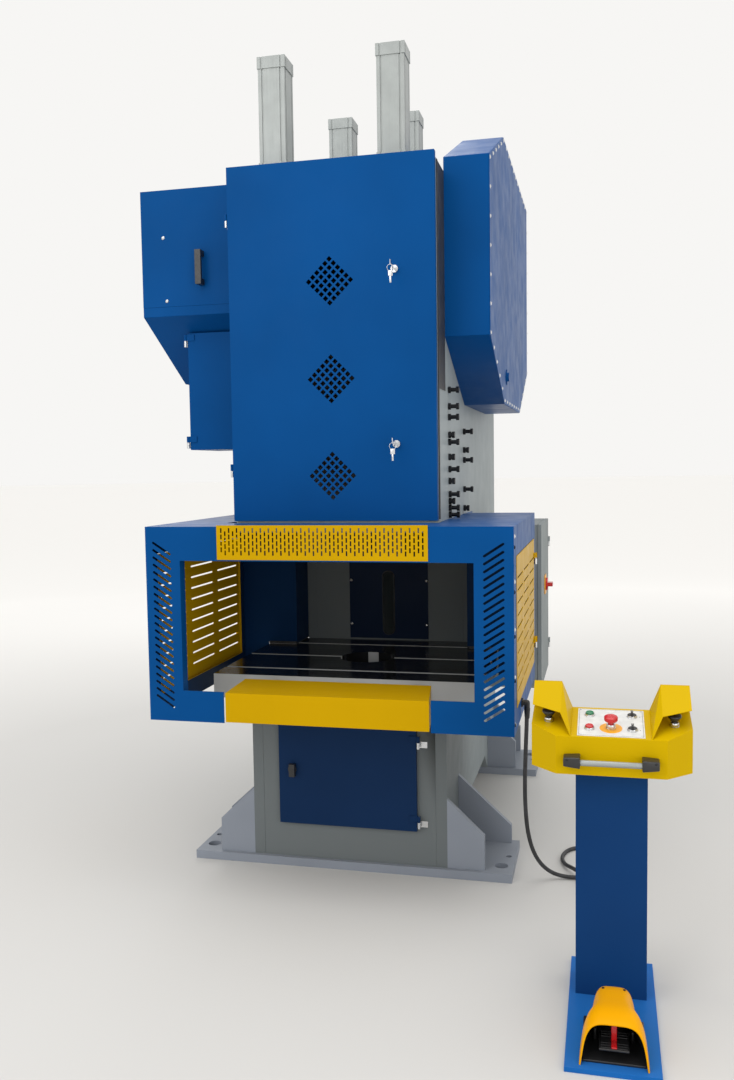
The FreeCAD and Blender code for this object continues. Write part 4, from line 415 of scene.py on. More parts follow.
@dataclass(frozen=True)
class Casting:
    """Sand-cast iron, rough and dull."""

    name: str
    colour: Colour
    stains: Grain = (24.0, 5.0)
    sheen: Grain = (60.0, 2.0)
    tones: Pair = (0.75, 1.25)
    roughness: Pair = (0.55, 0.75)
    metallic: float = 0.35
    sand_scale: float = 330.0
    sand_depth: float = 0.3 * MM
    lumps: Grain = (120.0, 3.0)
    lump_depth: float = 0.4 * MM

    def make(self) -> bpy.types.Material:
        """Build the material.

        Returns:
            The finished material.
        """
        graph = Graph(self.name)
        graph.colour(graph.mottle(graph.noise(*self.stains), self.colour, *self.tones))
        graph.rough(graph.spread(graph.noise(*self.sheen), *self.roughness))
        graph.set(Metallic=self.metallic)
        graph.bump((graph.cells(self.sand_scale), self.sand_depth),
                   (graph.noise(*self.lumps), self.lump_depth))
        return graph.material


@dataclass(frozen=True)
class Plastic:
    """Moulded plastic with a fine spark-eroded grain."""

    name: str
    colour: Colour
    roughness: float = 0.4
    coat: float = 0.0
    coat_roughness: float = 0.1
    stains: Grain = (45.0, 3.0)
    sheen: Grain = (90.0, 2.0)
    tones: Pair = (0.9, 1.1)
    sheen_range: Pair = (-0.05, 0.07)
    grain: Grain = (1500.0, 1.0)
    grain_depth: float = 0.02 * MM

    def make(self) -> bpy.types.Material:
        """Build the material.

        Returns:
            The finished material.
        """
        graph = Graph(self.name)
        graph.colour(graph.mottle(graph.noise(*self.stains), self.colour, *self.tones))
        graph.rough(graph.spread(graph.noise(*self.sheen), *about(self.roughness, self.sheen_range)))
        graph.set(Coat_Weight=self.coat, Coat_Roughness=self.coat_roughness)
        graph.bump((graph.noise(*self.grain), self.grain_depth))
        return graph.material


@dataclass(frozen=True)
class Rubber:
    """Extruded rubber with dust and scuffs."""

    name: str
    colour: Colour = (0.018, 0.018, 0.020)
    scuffs: Grain = (30.0, 5.0)
    scuff_weight: float = 0.65
    tones: Pair = (1.0, 3.0)
    scuff_window: Pair = (0.45, 0.8)
    roughness: Pair = (0.42, 0.62)
    grain: Grain = (700.0, 2.0)
    grain_depth: float = 0.04 * MM

    def make(self) -> bpy.types.Material:
        """Build the material.

        Returns:
            The finished material.
        """
        graph = Graph(self.name)
        scuff = graph.noise(*self.scuffs, roughness=self.scuff_weight)
        graph.colour(graph.mottle(scuff, self.colour, *self.tones, *self.scuff_window))
        graph.rough(graph.spread(scuff, *self.roughness))
        graph.bump((graph.noise(*self.grain), self.grain_depth))
        return graph.material


@dataclass(frozen=True)
class BolsterSteel:
    """Ground, oiled top over a painted front and rear, parted just below a height."""

    name: str
    top: float
    skin: float = 0.6 * MM
    square_on: float = 0.98
    steel: Colour = (0.045, 0.047, 0.052)
    paint: Colour = (0.36, 0.37, 0.37)
    swirl: Point = (3.0, 60.0, 60.0)
    swirl_octaves: float = 4.0
    swirl_depth: float = 0.02 * MM
    oil: Grain = (7.0, 5.0)
    oil_tones: Pair = (0.7, 1.5)
    oil_window: Pair = (0.35, 0.7)
    ground_roughness: Pair = (0.10, 0.24)
    cloud: Grain = (5.0, 4.0)
    paint_tones: Pair = (0.9, 1.08)
    paint_roughness: float = 0.3
    metallic: float = 0.75

    def make(self) -> bpy.types.Material:
        """Build the material.

        Returns:
            The finished material.
        """
        graph = Graph(self.name)
        up = graph.math("GREATER_THAN", graph.split()["Z"], self.top - self.skin)
        inside = graph.math("LESS_THAN", graph.math("ABSOLUTE", graph.facing()["Y"]), self.square_on)
        ground = graph.math("MAXIMUM", up, inside)
        swirl = graph.noise(1.0, self.swirl_octaves, graph.stretch(self.swirl))
        steel = graph.mottle(graph.noise(*self.oil), self.steel, *self.oil_tones, *self.oil_window)
        paint = graph.mottle(graph.noise(*self.cloud), self.paint, *self.paint_tones)
        graph.colour(graph.mix(ground, paint, steel))
        duller = graph.math("MULTIPLY", graph.math("SUBTRACT", 1.0, ground), self.paint_roughness)
        graph.rough(graph.math("ADD", graph.spread(swirl, *self.ground_roughness), duller))
        graph.links.new(graph.math("MULTIPLY", ground, self.metallic), graph.shader.inputs["Metallic"])
        graph.bump((swirl, self.swirl_depth))
        return graph.material


# ---------------------------------------------------------------- finishes
BLUE = Paint("satin_blue", (0.0022, 0.063, 0.228), gloss=0.03, dust=0.09, dust_colour=(0.30, 0.34, 0.42))
# Guard's inner faces: the blue painted darker as shade inside the guard.
SHADED_GUARD_BLUE = Paint("guard_inner_painted_shade", (0.004, 0.026, 0.085), dust=0.0)
# Pedestal door: the blue painted darker as shade under the guard.
SHADED_PEDESTAL_BLUE = Paint("pedestal_door_painted_shade", (0.007, 0.026, 0.080), dust=0.0)
# Throat panel: near-black blue, a painted shade for the unlit die space.
SHADED_THROAT_BLUE = Paint("throat_panel_painted_shade", (0.007, 0.017, 0.045), dust=0.0)
# Console column: a darker copy of the same blue paint, a painted shade.
SHADED_STAND_BLUE = Paint("stand_column_painted_shade", (0.006, 0.042, 0.150), roughness=0.38)
BASE_BLUE = Paint("base_blue", (0.012, 0.130, 0.440), roughness=0.42, dust=0.05,
                  dust_colour=(0.16, 0.30, 0.50))
# Frame grey with a painted shade: darker below a height and towards the front.
GREY = Paint("frame_grey", (0.30, 0.335, 0.345), roughness=0.42, peel=0.1 * MM, variation=0.07,
             dust=0.06, painted_shade_tone=0.50)
FOOT_GREY = Paint("foot_grey", (0.255, 0.28, 0.325), roughness=0.42, peel=0.1 * MM, variation=0.08,
                  dust=0.10)
YELLOW = Paint("guard_yellow", (0.53, 0.310, 0.0009), roughness=0.33, variation=0.04, dust=0.01,
               gloss=0.03)
CONSOLE_YELLOW = Paint("console_yellow", (0.57, 0.37, 0.0009), roughness=0.33, variation=0.04,
                       dust=0.0, gloss=0.03)
HOOD_YELLOW = Paint("hood_yellow", (0.80, 0.36, 0.0012), roughness=0.36, variation=0.04, dust=0.0)
CABINET = Paint("cabinet_grey", (0.245, 0.272, 0.275), roughness=0.5, peel=0.2 * MM, peel_scale=420.0)
DARK_STEEL = Steel("black_oxide", (0.035, 0.036, 0.04), roughness=0.42)
BRIGHT = Steel("zinc_plate", (0.66, 0.67, 0.68), roughness=0.24, stain=0.12)
MACHINED = Steel("machined_steel", (0.42, 0.42, 0.43), roughness=0.32)
ALUMINIUM = Steel("anodised_profile", (0.315, 0.335, 0.327), roughness=0.40, lay=(500.0, 500.0, 4.0),
                  stain=0.06, metallic=0.35)
BRONZE = Steel("bearing_bronze", (0.55, 0.33, 0.13), roughness=0.34)
IRON = Casting("cast_iron", (0.09, 0.09, 0.095))
BLACK = Plastic("black_plastic", (0.014, 0.014, 0.015), roughness=0.38, coat=0.1)
RED = Plastic("red_plastic", (0.50, 0.008, 0.010), roughness=0.28, coat=0.2)
GREEN = Plastic("green_plastic", (0.004, 0.17, 0.060), roughness=0.28, coat=0.2)
AMBER = Plastic("amber_plastic", (0.80, 0.36, 0.015), roughness=0.35)
WHITE = Plastic("legend_sheet", (0.66, 0.66, 0.64), roughness=0.35)
HOSE = Rubber("cable_rubber")


class Stock:
    """Materials made once and handed out by finish."""

    made: dict[str, bpy.types.Material] = {}

    @classmethod
    def get(cls, finish: object) -> bpy.types.Material:
        """Material of a finish.

        Args:
            finish: One of the finishes above.

        Returns:
            Its material, made at the first call.
        """
        if finish.name not in cls.made:
            cls.made[finish.name] = finish.make()
        return cls.made[finish.name]


# ---------------------------------------------------------------- bench tools
def clear_selection() -> None:
    """Leave nothing selected, in object mode."""
    if bpy.context.mode != "OBJECT":
        bpy.ops.object.mode_set(mode="OBJECT")
    bpy.ops.object.select_all(action="DESELECT")


def take(piece: Piece) -> None:
    """Make one object the only selected and active one.

    Args:
        piece: Object to work on.
    """
    clear_selection()
    piece.select_set(True)
    bpy.context.view_layer.objects.active = piece


def open_mesh(piece: Piece, everything: bool = True) -> None:
    """Go into edit mode on a piece, choosing faces.

    Args:
        piece: Object to edit.
        everything: Whether all of it starts selected.
    """
    take(piece)
    bpy.ops.object.mode_set(mode="EDIT")
    bpy.ops.mesh.select_mode(type="FACE")
    bpy.ops.mesh.select_all(action="SELECT" if everything else "DESELECT")


def pick_faces(piece: Piece, rule: Rule) -> None:
    """Select faces in edit mode by centre and normal.

    Args:
        piece: Object being edited.
        rule: Says whether a face is wanted.
    """
    bpy.ops.mesh.select_all(action="DESELECT")
    bpy.ops.object.mode_set(mode="OBJECT")
    for face in piece.data.polygons:
        face.select = rule(face.center, face.normal)
    bpy.ops.object.mode_set(mode="EDIT")


def close_mesh() -> None:
    """Come back from edit mode."""
    bpy.ops.object.mode_set(mode="OBJECT")


def apply_modifier(piece: Piece, kind: str, **values: object) -> None:
    """Add one modifier and apply it.

    Args:
        piece: Object to change.
        kind: Modifier type.
        values: Its settings.
    """
    take(piece)
    modifier = piece.modifiers.new(kind.lower(), kind)
    for key, value in values.items():
        setattr(modifier, key, value)
    bpy.ops.object.modifier_apply(modifier=modifier.name)


def settle(piece: Piece) -> None:
    """Put the object's place into its mesh."""
    take(piece)
    bpy.ops.object.transform_apply(location=True, rotation=True, scale=True)


def smooth(piece: Piece, angle: float = 40.0) -> None:
    """Shade smooth below an angle in degrees."""
    take(piece)
    bpy.ops.object.shade_smooth_by_angle(angle=math.radians(angle))


def block(name: str, low: Point, high: Point, edge: float = 0.0, segments: int = 2) -> Piece:
    """Block between two corners with rounded edges.

    Args:
        name: Name of the piece.
        low: Lowest corner in metres.
        high: Highest corner in metres.
        edge: Edge radius.
        segments: Steps of the rounding.

    Returns:
        The new object.
    """
    clear_selection()
    bpy.ops.mesh.primitive_cube_add(size=1.0, location=[(a + b) / 2 for a, b in zip(low, high)],
                                    scale=[b - a for a, b in zip(low, high)])
    piece = bpy.context.active_object
    piece.name = name
    settle(piece)
    if edge:
        open_mesh(piece)
        bpy.ops.mesh.select_mode(type="EDGE")
        bpy.ops.mesh.select_all(action="SELECT")
        bpy.ops.mesh.bevel(offset=edge, segments=segments)
        close_mesh()
    return piece


@dataclass(frozen=True)
class Slab:
    """Rounded block, in millimetres about an origin."""

    name: str
    low: Point
    high: Point
    edge: float
    segments: int = 2

    def make(self, origin: Point = (0.0, 0.0, 0.0)) -> Piece:
        """Model the block.

        Args:
            origin: Zero of its corners, in metres.

        Returns:
            The new object.
        """
        low, high = (tuple(zero + value * MM for zero, value in zip(origin, corner))
                     for corner in (self.low, self.high))
        return block(self.name, low, high, self.edge * MM, self.segments)


def slab_group(slabs: Sequence[Slab], name: str, origin: Point = (0.0, 0.0, 0.0)) -> Piece:
    """Several rounded blocks as one object."""
    return join([slab.make(origin) for slab in slabs], name)


def in_metres(profile: Sequence[Pair]) -> list[Pair]:
    """Profile that was given in millimetres."""
    return [(radius * MM, height * MM) for radius, height in profile]


def turned(name: str, profile: Sequence[Pair], sides: int = 32) -> Piece:
    """Closed round piece on the Z axis, drawn up ring by ring.

    Args:
        name: Name of the piece.
        profile: Radius and height of each ring, bottom first.
        sides: Steps round.

    Returns:
        The new object, at the origin.
    """
    clear_selection()
    radius, height = profile[0]
    bpy.ops.mesh.primitive_circle_add(vertices=sides, radius=radius, fill_type="NGON",
                                      location=(0, 0, height))
    piece = bpy.context.active_object
    piece.name = name
    settle(piece)
    open_mesh(piece)
    for (r0, z0), (r1, z1) in zip(profile, profile[1:]):
        bpy.ops.mesh.extrude_region_move(TRANSFORM_OT_translate={"value": (0, 0, z1 - z0)})
        grow = r1 / r0
        bpy.ops.transform.resize(value=(grow, grow, 1), center_override=(0, 0, 0))
    bpy.ops.mesh.select_all(action="SELECT")
    bpy.ops.mesh.normals_make_consistent(inside=False)
    close_mesh()
    return piece


def stand(piece: Piece, place: Point, matrix: Matrix | None = None) -> Piece:
    """Turn a piece made on Z and set it down, with the move kept in its mesh.

    Args:
        piece: Object at the origin.
        place: Where its origin goes.
        matrix: Turn, or none.

    Returns:
        The same object.
    """
    piece.matrix_world = Matrix.Translation(place) @ (matrix or Matrix.Identity(4))
    bpy.context.view_layer.update()
    settle(piece)
    return piece


def join(pieces: Sequence[Piece], name: str) -> Piece:
    """One object from several.

    Args:
        pieces: Objects to join; the first one stays.
        name: Name of the joined object.

    Returns:
        The joined object.
    """
    clear_selection()
    for piece in pieces:
        piece.select_set(True)
    bpy.context.view_layer.objects.active = pieces[0]
    bpy.ops.object.join()
    pieces[0].name = name
    return pieces[0]


def dress(piece: Piece, finish: object) -> Piece:
    """Give a piece one finish all over.

    Args:
        piece: Object to dress.
        finish: Finish it takes.

    Returns:
        The same object.
    """
    piece.data.materials.clear()
    piece.data.materials.append(Stock.get(finish))
    return piece


def deliver(piece: Piece, finish: object | None, body: str,
            stands_for: Iterable[str] = ()) -> Piece:
    """Finish a piece, hang it on its body and hide the CAD nodes it stands for.

    Args:
        piece: Object at its place.
        finish: Finish, or none if it has its materials.
        body: CAD body it rides on.
        stands_for: CAD nodes it replaces.

    Returns:
        The same object.
    """
    if finish is not None:
        dress(piece, finish)
    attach(piece, body)
    nodes = tuple(stands_for)
    if nodes:
        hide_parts(*nodes)
    LOG.info("piece %s on %s", piece.name, body)
    return piece


def dress_node(name: str, finish: object) -> None:
    """Give a CAD node a finish.

    Args:
        name: Name of the node.
        finish: Finish it takes.
    """
    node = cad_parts[name]
    node.data.materials.clear()
    node.data.materials.append(Stock.get(finish))
    LOG.info("node %s in %s", name, finish.name)


def paint_faces(piece: Piece, finish: object, rule: Rule) -> None:
    """Give some faces of a piece a second finish.

    Args:
        piece: Object that already has its first finish.
        finish: Second finish.
        rule: Says whether a face takes it, by centre and normal.
    """
    piece.data.materials.append(Stock.get(finish))
    index = len(piece.data.materials) - 1
    for face in piece.data.polygons:
        if rule(face.center, face.normal):
            face.material_index = index


def rounded_copy(node: str, radius: float, finish: object, body: str,
                 segments: int = 2,
                 extra: Sequence[tuple[object, Rule]] = ()) -> Piece:
    """Copy of a CAD node with its doubles merged and its edges rounded, which stands for it.

    Args:
        node: CAD node.
        radius: Edge radius in metres.
        finish: Finish of the copy.
        body: CAD body it rides on.
        segments: Steps of the rounding.
        extra: Second finishes and the rules of their faces.

    Returns:
        The new piece.
    """
    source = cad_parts[node]
    piece = bpy.data.objects.new(node + "_skin", source.data.copy())
    bpy.context.scene.collection.objects.link(piece)
    open_mesh(piece)
    bpy.ops.mesh.remove_doubles(threshold=DOUBLES)
    bpy.ops.mesh.select_all(action="SELECT")
    bpy.ops.mesh.dissolve_limited(angle_limit=math.radians(FLAT_ANGLE))
    close_mesh()
    apply_modifier(piece, "BEVEL", width=radius, segments=segments, limit_method="ANGLE",
                   angle_limit=math.radians(SHARP_ANGLE), use_clamp_overlap=True)
    smooth(piece, SKIN_SMOOTH)
    apply_modifier(piece, "WEIGHTED_NORMAL", keep_sharp=True, weight=CORNER_WEIGHT)
    dress(piece, finish)
    for second, rule in extra:
        paint_faces(piece, second, rule)
    return deliver(piece, None, body, [node])


# ---------------------------------------------------------------- the cable
@dataclass
class ControlCable:
    """Rubber cable from the guard's elbow gland to the foot of the console's column."""

    diameter: float = 0.016
    curve_order: int = 3
    curve_steps: int = 10
    curve_round: int = 5
    boot_foot: Profile = ((12.0, 0.0), (12.0, 2.0), (11.4, 3.0))
    boot_end: Profile = ((8.9, 38.0), (8.3, 39.0))
    boot_ribs: int = 6
    boot_first: Pair = (11.6, 4.0)
    boot_step: Pair = (-0.36, 5.5)
    boot_rib: Profile = ((0.0, 0.0), (0.0, 3.4), (-0.9, 3.9), (-0.9, 5.1))
    boot_sides: int = 28
    boot_smooth: float = 35.0
    route: tuple[Point, ...] = (
        (0.738, -0.965, 0.728), (0.7355, -0.965, 0.645), (0.731, -0.964, 0.540), (0.728, -0.960, 0.432),
        (0.729, -0.947, 0.322), (0.737, -0.922, 0.216), (0.758, -0.882, 0.124), (0.794, -0.836, 0.054),
        (0.847, -0.803, 0.014), (0.927, -0.798, 0.009), (1.012, -0.765, 0.009), (1.082, -0.690, 0.009),
        (1.098, -0.590, 0.009), (1.052, -0.500, 0.009), (0.962, -0.458, 0.009), (0.882, -0.492, 0.009),
        (0.850, -0.580, 0.009), (0.864, -0.675, 0.012), (0.905, -0.752, 0.028), (0.950, -0.836, 0.037),
        (0.982, -0.935, 0.012), (1.002, -1.042, 0.009), (1.024, -1.152, 0.009), (1.042, -1.262, 0.009),
        (1.049, -1.352, 0.022), (1.048, -1.436, 0.054), (1.0465, -1.511, 0.060))

    def line(self) -> Piece:
        """NURBS curve through the route, with a round section.

        Returns:
            The curve object.
        """
        data = bpy.data.curves.new("control_cable_line", "CURVE")
        data.dimensions = "3D"
        spline = data.splines.new("NURBS")
        spline.points.add(len(self.route) - 1)
        for point, place in zip(spline.points, self.route):
            point.co = (*place, 1.0)
        spline.order_u = self.curve_order
        spline.use_endpoint_u = True
        data.resolution_u = self.curve_steps
        data.bevel_depth = self.diameter / 2
        data.bevel_resolution = self.curve_round
        data.use_fill_caps = True
        piece = bpy.data.objects.new("cable_run", data)
        bpy.context.scene.collection.objects.link(piece)
        return piece

    def build(self) -> None:
        piece = self.line()
        piece.data.materials.append(Stock.get(HOSE))
        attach(piece, "press_frame")
        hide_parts("control_cable")
        dress_node("cable_glands", BLACK)
        start, end = self.route[0], self.route[-1]
        boots = [self.boot(start, (0.0, 0.0, -1.0)), self.boot(end, (0.0, 1.0, 0.0))]
        deliver(join(boots, "strain_reliefs"), BLACK, "press_frame")

    def boot(self, place: Point, way: Point) -> Piece:
        """Tapered, ringed strain relief round the cable.

        Args:
            place: End of the cable.
            way: Direction in which the cable leaves.

        Returns:
            The new object.
        """
        rings = list(self.boot_foot)
        for rib in range(self.boot_ribs):
            radius, height = (first + rib * step for first, step in zip(self.boot_first, self.boot_step))
            rings += [(radius + out, height + up) for out, up in self.boot_rib]
        rings += self.boot_end
        piece = turned("boot", in_metres(rings), self.boot_sides)
        smooth(piece, self.boot_smooth)
        return stand(piece, place, turn_z_to(way))


# ---------------------------------------------------------------- frame and drive
@dataclass
class Weldment:
    """Grey frame: side plates, cross plates and feet."""

    edge: float = 1.5 * MM
    foot_edge: float = 2.5 * MM
    seal_gap: float = 0.2 * MM
    # The seal is partly a rubber door seal and partly painted shade in the gap; the shadow sheet is painted
    # shade only, a black sheet where the gap to the flywheel cover lies in shadow.
    rubbers: tuple[Slab, ...] = (
        Slab("seal", (0.0, -989.0, 1452.0), (4.0, -975.0, 2796.0), 1.4, 3),
        Slab("shadow_lip", (0.0, -974.0, 1950.0), (2.0, -820.0, 2796.0), 0.8))

    def seal_and_shadow_lip(self) -> None:
        """Black seal beside the large door, partly a rubber seal and partly painted shade in its gap, and a
        black sheet that is painted shade in the shadowed gap to the flywheel cover.
        """
        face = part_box("side_plates")[1].x + self.seal_gap
        deliver(slab_group(self.rubbers, "door_seal_and_shadow_lip", (face, 0.0, 0.0)), HOSE, "press_frame")

    def build(self) -> None:
        """Round the visible plates."""
        rounded_copy("side_plates", self.edge, GREY, "press_frame")
        rounded_copy("cross_plates", self.edge, GREY, "press_frame")
        rounded_copy("foot_plates", self.foot_edge, FOOT_GREY, "press_frame")
        self.seal_and_shadow_lip()


@dataclass
class Mechanism:
    """Crank train, ram, counterbalance, clutch side and motor, mostly behind covers."""

    cylinder_edge: float = 1.2 * MM
    finishes: dict[str, object] = field(default_factory=lambda: {
        "crankshaft": MACHINED, "bull_gear": MACHINED, "con_rod": IRON, "ball_screw": MACHINED, "ram": IRON,
        "shank_clamp": DARK_STEEL, "balance_beam": MACHINED, "balance_rods": BRIGHT, "drive_shaft": MACHINED,
        "brake_housing": IRON, "flywheel": IRON, "motor": BLUE, "motor_pulley": IRON, "drive_belts": HOSE,
        "gibs": BRONZE, "shaft_bushes": BRONZE, "gib_screws": DARK_STEEL})

    def build(self) -> None:
        """Dress the nodes."""
        for name, finish in self.finishes.items():
            dress_node(name, finish)
        rounded_copy("balance_cylinders", self.cylinder_edge, ALUMINIUM, "press_frame")


@dataclass
class DieArea:
    """Bolster and throat panel with the rubber edging of its window."""

    window: Point = (0.0, -0.038, 0.995)
    window_radius: float = 0.028
    window_straight: float = 0.127
    edging: float = 3.2 * MM
    steps: tuple[int, int] = (40, 10)

    def window_edging(self) -> Piece:
        """Rubber ring stretched round the tall window.

        Returns:
            The new object.
        """
        clear_selection()
        bpy.ops.mesh.primitive_torus_add(major_radius=self.window_radius, minor_radius=self.edging,
                                         major_segments=self.steps[0], minor_segments=self.steps[1],
                                         rotation=(math.pi / 2, 0, 0))
        piece = bpy.context.active_object
        piece.name = "window_edging"
        settle(piece)
        for way in (1, -1):
            open_mesh(piece)
            pick_faces(piece, lambda centre, normal: centre.z * way > 0)
            bpy.ops.transform.translate(value=(0, 0, way * self.window_straight))
            close_mesh()
        return stand(piece, self.window)

    def build(self) -> None:
        """Dress the bolster by height and fit the edging."""
        dress_node("bolster", BolsterSteel("bolster_steel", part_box("bolster")[1].z))
        # The throat panel takes a near-black blue as painted shade.
        dress_node("throat_panel", SHADED_THROAT_BLUE)
        deliver(self.window_edging(), HOSE, "press_frame")


# ---------------------------------------------------------------- covers
def dome_screw(name: str, radius: float, height: float) -> Piece:
    """Domed screw head with a sunk socket, standing on Z.

    Args:
        name: Name of the piece.
        radius: Radius of its foot in metres.
        height: Height of the dome.

    Returns:
        The new object, at the origin.
    """
    piece = turned(name, [(across * radius, up * height) for across, up in DOME], DOME_SIDES)
    open_mesh(piece)
    pick_faces(piece, lambda centre, normal: normal.z > FACING and centre.z > DOME_FLAT * height)
    bpy.ops.mesh.inset(thickness=SOCKET_RIM * radius)
    bpy.ops.mesh.extrude_region_move(TRANSFORM_OT_translate={"value": (0, 0, -SOCKET_DEPTH * height)})
    close_mesh()
    smooth(piece)
    return piece


def turn_z_to(way: Point) -> Matrix:
    """Turn that takes the Z axis to a direction."""
    return Vector(way).to_track_quat("Z", "Y").to_matrix().to_4x4()


def copies(piece: Piece, places: Sequence[tuple[Point, Matrix]], name: str) -> Piece:
    """Copy one piece to several places as one object.

    Args:
        piece: Piece at the origin; it is used up.
        places: Position and turn of each copy.
        name: Name of the joined object.

    Returns:
        The joined object.
    """
    made = []
    for place, matrix in places:
        copy = bpy.data.objects.new(name, piece.data.copy())
        bpy.context.scene.collection.objects.link(copy)
        made.append(stand(copy, place, matrix))
    bpy.data.objects.remove(piece)
    return join(made, name)


@dataclass
class Covers:
    """Blue sheet covers and doors with their locks, handle and screws."""

    edge: float = 2.0 * MM
    fixed: tuple[str, ...] = ("flywheel_cover", "flywheel_cover_plate", "brake_cover", "left_cabinet")
    doors: tuple[str, ...] = ("left_cabinet_door", "front_door", "pedestal_door")
    hatch_face: float = -0.8155
    handle_x: Pair = (-0.625, -0.585)
    lock_edge: float = 0.4 * MM
    latch_edge: float = 2.0 * MM
    hinge_edge: float = 0.8 * MM
    first_key: tuple[Slab, ...] = (
        Slab("blade", (-1.1, -14.0, -3.5), (1.1, -0.2, 3.5), 0.4),
        Slab("bow", (-1.3, -34.0, -11.0), (1.3, -13.0, 11.0), 1.0, 3))
    second_key: tuple[Slab, ...] = (
        Slab("spare", (-8.5, -30.5, -50.0), (8.5, -28.1, -29.0), 1.0, 3),
        Slab("shaft", (-3.3, -30.2, -74.0), (3.3, -28.4, -49.0), 0.4))
    ring_place: Pair = (-0.029, -0.0195)
    ring_radii: Pair = (12.5 * MM, 1.0 * MM)
    ring_steps: tuple[int, int] = (32, 8)
    ring_swing: float = 0.35

    def on_handle(self, centre: Vector, normal: Vector) -> bool:
        """Whether a face of the hatch belongs to its handle."""
        return centre.y < self.hatch_face and self.handle_x[0] < centre.x < self.handle_x[1]

    def on_screw(self, centre: Vector, normal: Vector) -> bool:
        """Whether a face of the hatch belongs to its screws."""
        return centre.y < self.hatch_face and not self.on_handle(centre, normal)

    def keys(self, lock: str) -> None:
        """Key in a lock, with its ring and a second key hanging from it.

        Args:
            lock: Node of the lock.
        """
        low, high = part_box(lock)
        x, y, z = (low.x + high.x) / 2, low.y, (low.z + high.z) / 2
        first = [slab.make((x, y, z)) for slab in self.first_key]
        clear_selection()
        bpy.ops.mesh.primitive_torus_add(
            major_radius=self.ring_radii[0], minor_radius=self.ring_radii[1],
            major_segments=self.ring_steps[0], minor_segments=self.ring_steps[1],
            location=(x, y + self.ring_place[0], z + self.ring_place[1]),
            rotation=(math.pi / 2, 0, self.ring_swing))
        ring = bpy.context.active_object
        settle(ring)
        second = [slab.make((x, y, z)) for slab in self.second_key]
        piece = join([*first, ring, *second], lock + "_keys")
        smooth(piece)
        deliver(piece, BRIGHT, lock)

    def build(self) -> None:
        """Round every cover and door and give the fittings their finishes."""
        for name in self.fixed:
            rounded_copy(name, self.edge, BLUE, "press_frame")
        for name in self.doors:
            # The pedestal door takes the darker blue, a painted shade under the guard.
            finish = SHADED_PEDESTAL_BLUE if name == "pedestal_door" else BLUE
            rounded_copy(name, self.edge, finish, name)
        rounded_copy("brake_hatch", self.edge, BLUE, "brake_hatch",
                     extra=[(BLACK, self.on_handle), (BRIGHT, self.on_screw)])
        for name in ("upper_lock", "lower_lock"):
            rounded_copy(name, self.lock_edge, BRIGHT, name)
            self.keys(name)
        rounded_copy("pedestal_latch", self.latch_edge, BLACK, "pedestal_latch")
        rounded_copy("hinge_leaves", self.hinge_edge, BRIGHT, "press_frame")
        dress_node("cover_screws", BRIGHT)


@dataclass
class Cabinet:
    """Electrical cabinet with its main switch."""

    plate_x: float = 0.7352
    plate_y: Pair = (0.18, 0.29)
    plate_z: Pair = (1.0, 1.13)
    edge: float = 1.5 * MM
    door_edge: float = 1.2 * MM

    def on_plate(self, centre: Vector, normal: Vector) -> bool:
        """Whether a face belongs to the switch's plate."""
        return (centre.x > self.plate_x and self.plate_y[0] < centre.y < self.plate_y[1]
                and self.plate_z[0] < centre.z < self.plate_z[1])

    def build(self) -> None:
        """Dress the cabinet and the switch."""
        rounded_copy("electrical_cabinet", self.edge, CABINET, "press_frame")
        rounded_copy("electrical_cabinet_door", self.door_edge, CABINET, "electrical_cabinet_door",
                     extra=[(AMBER, self.on_plate)])
        rounded_copy("switch_handle", self.edge, RED, "switch_handle")


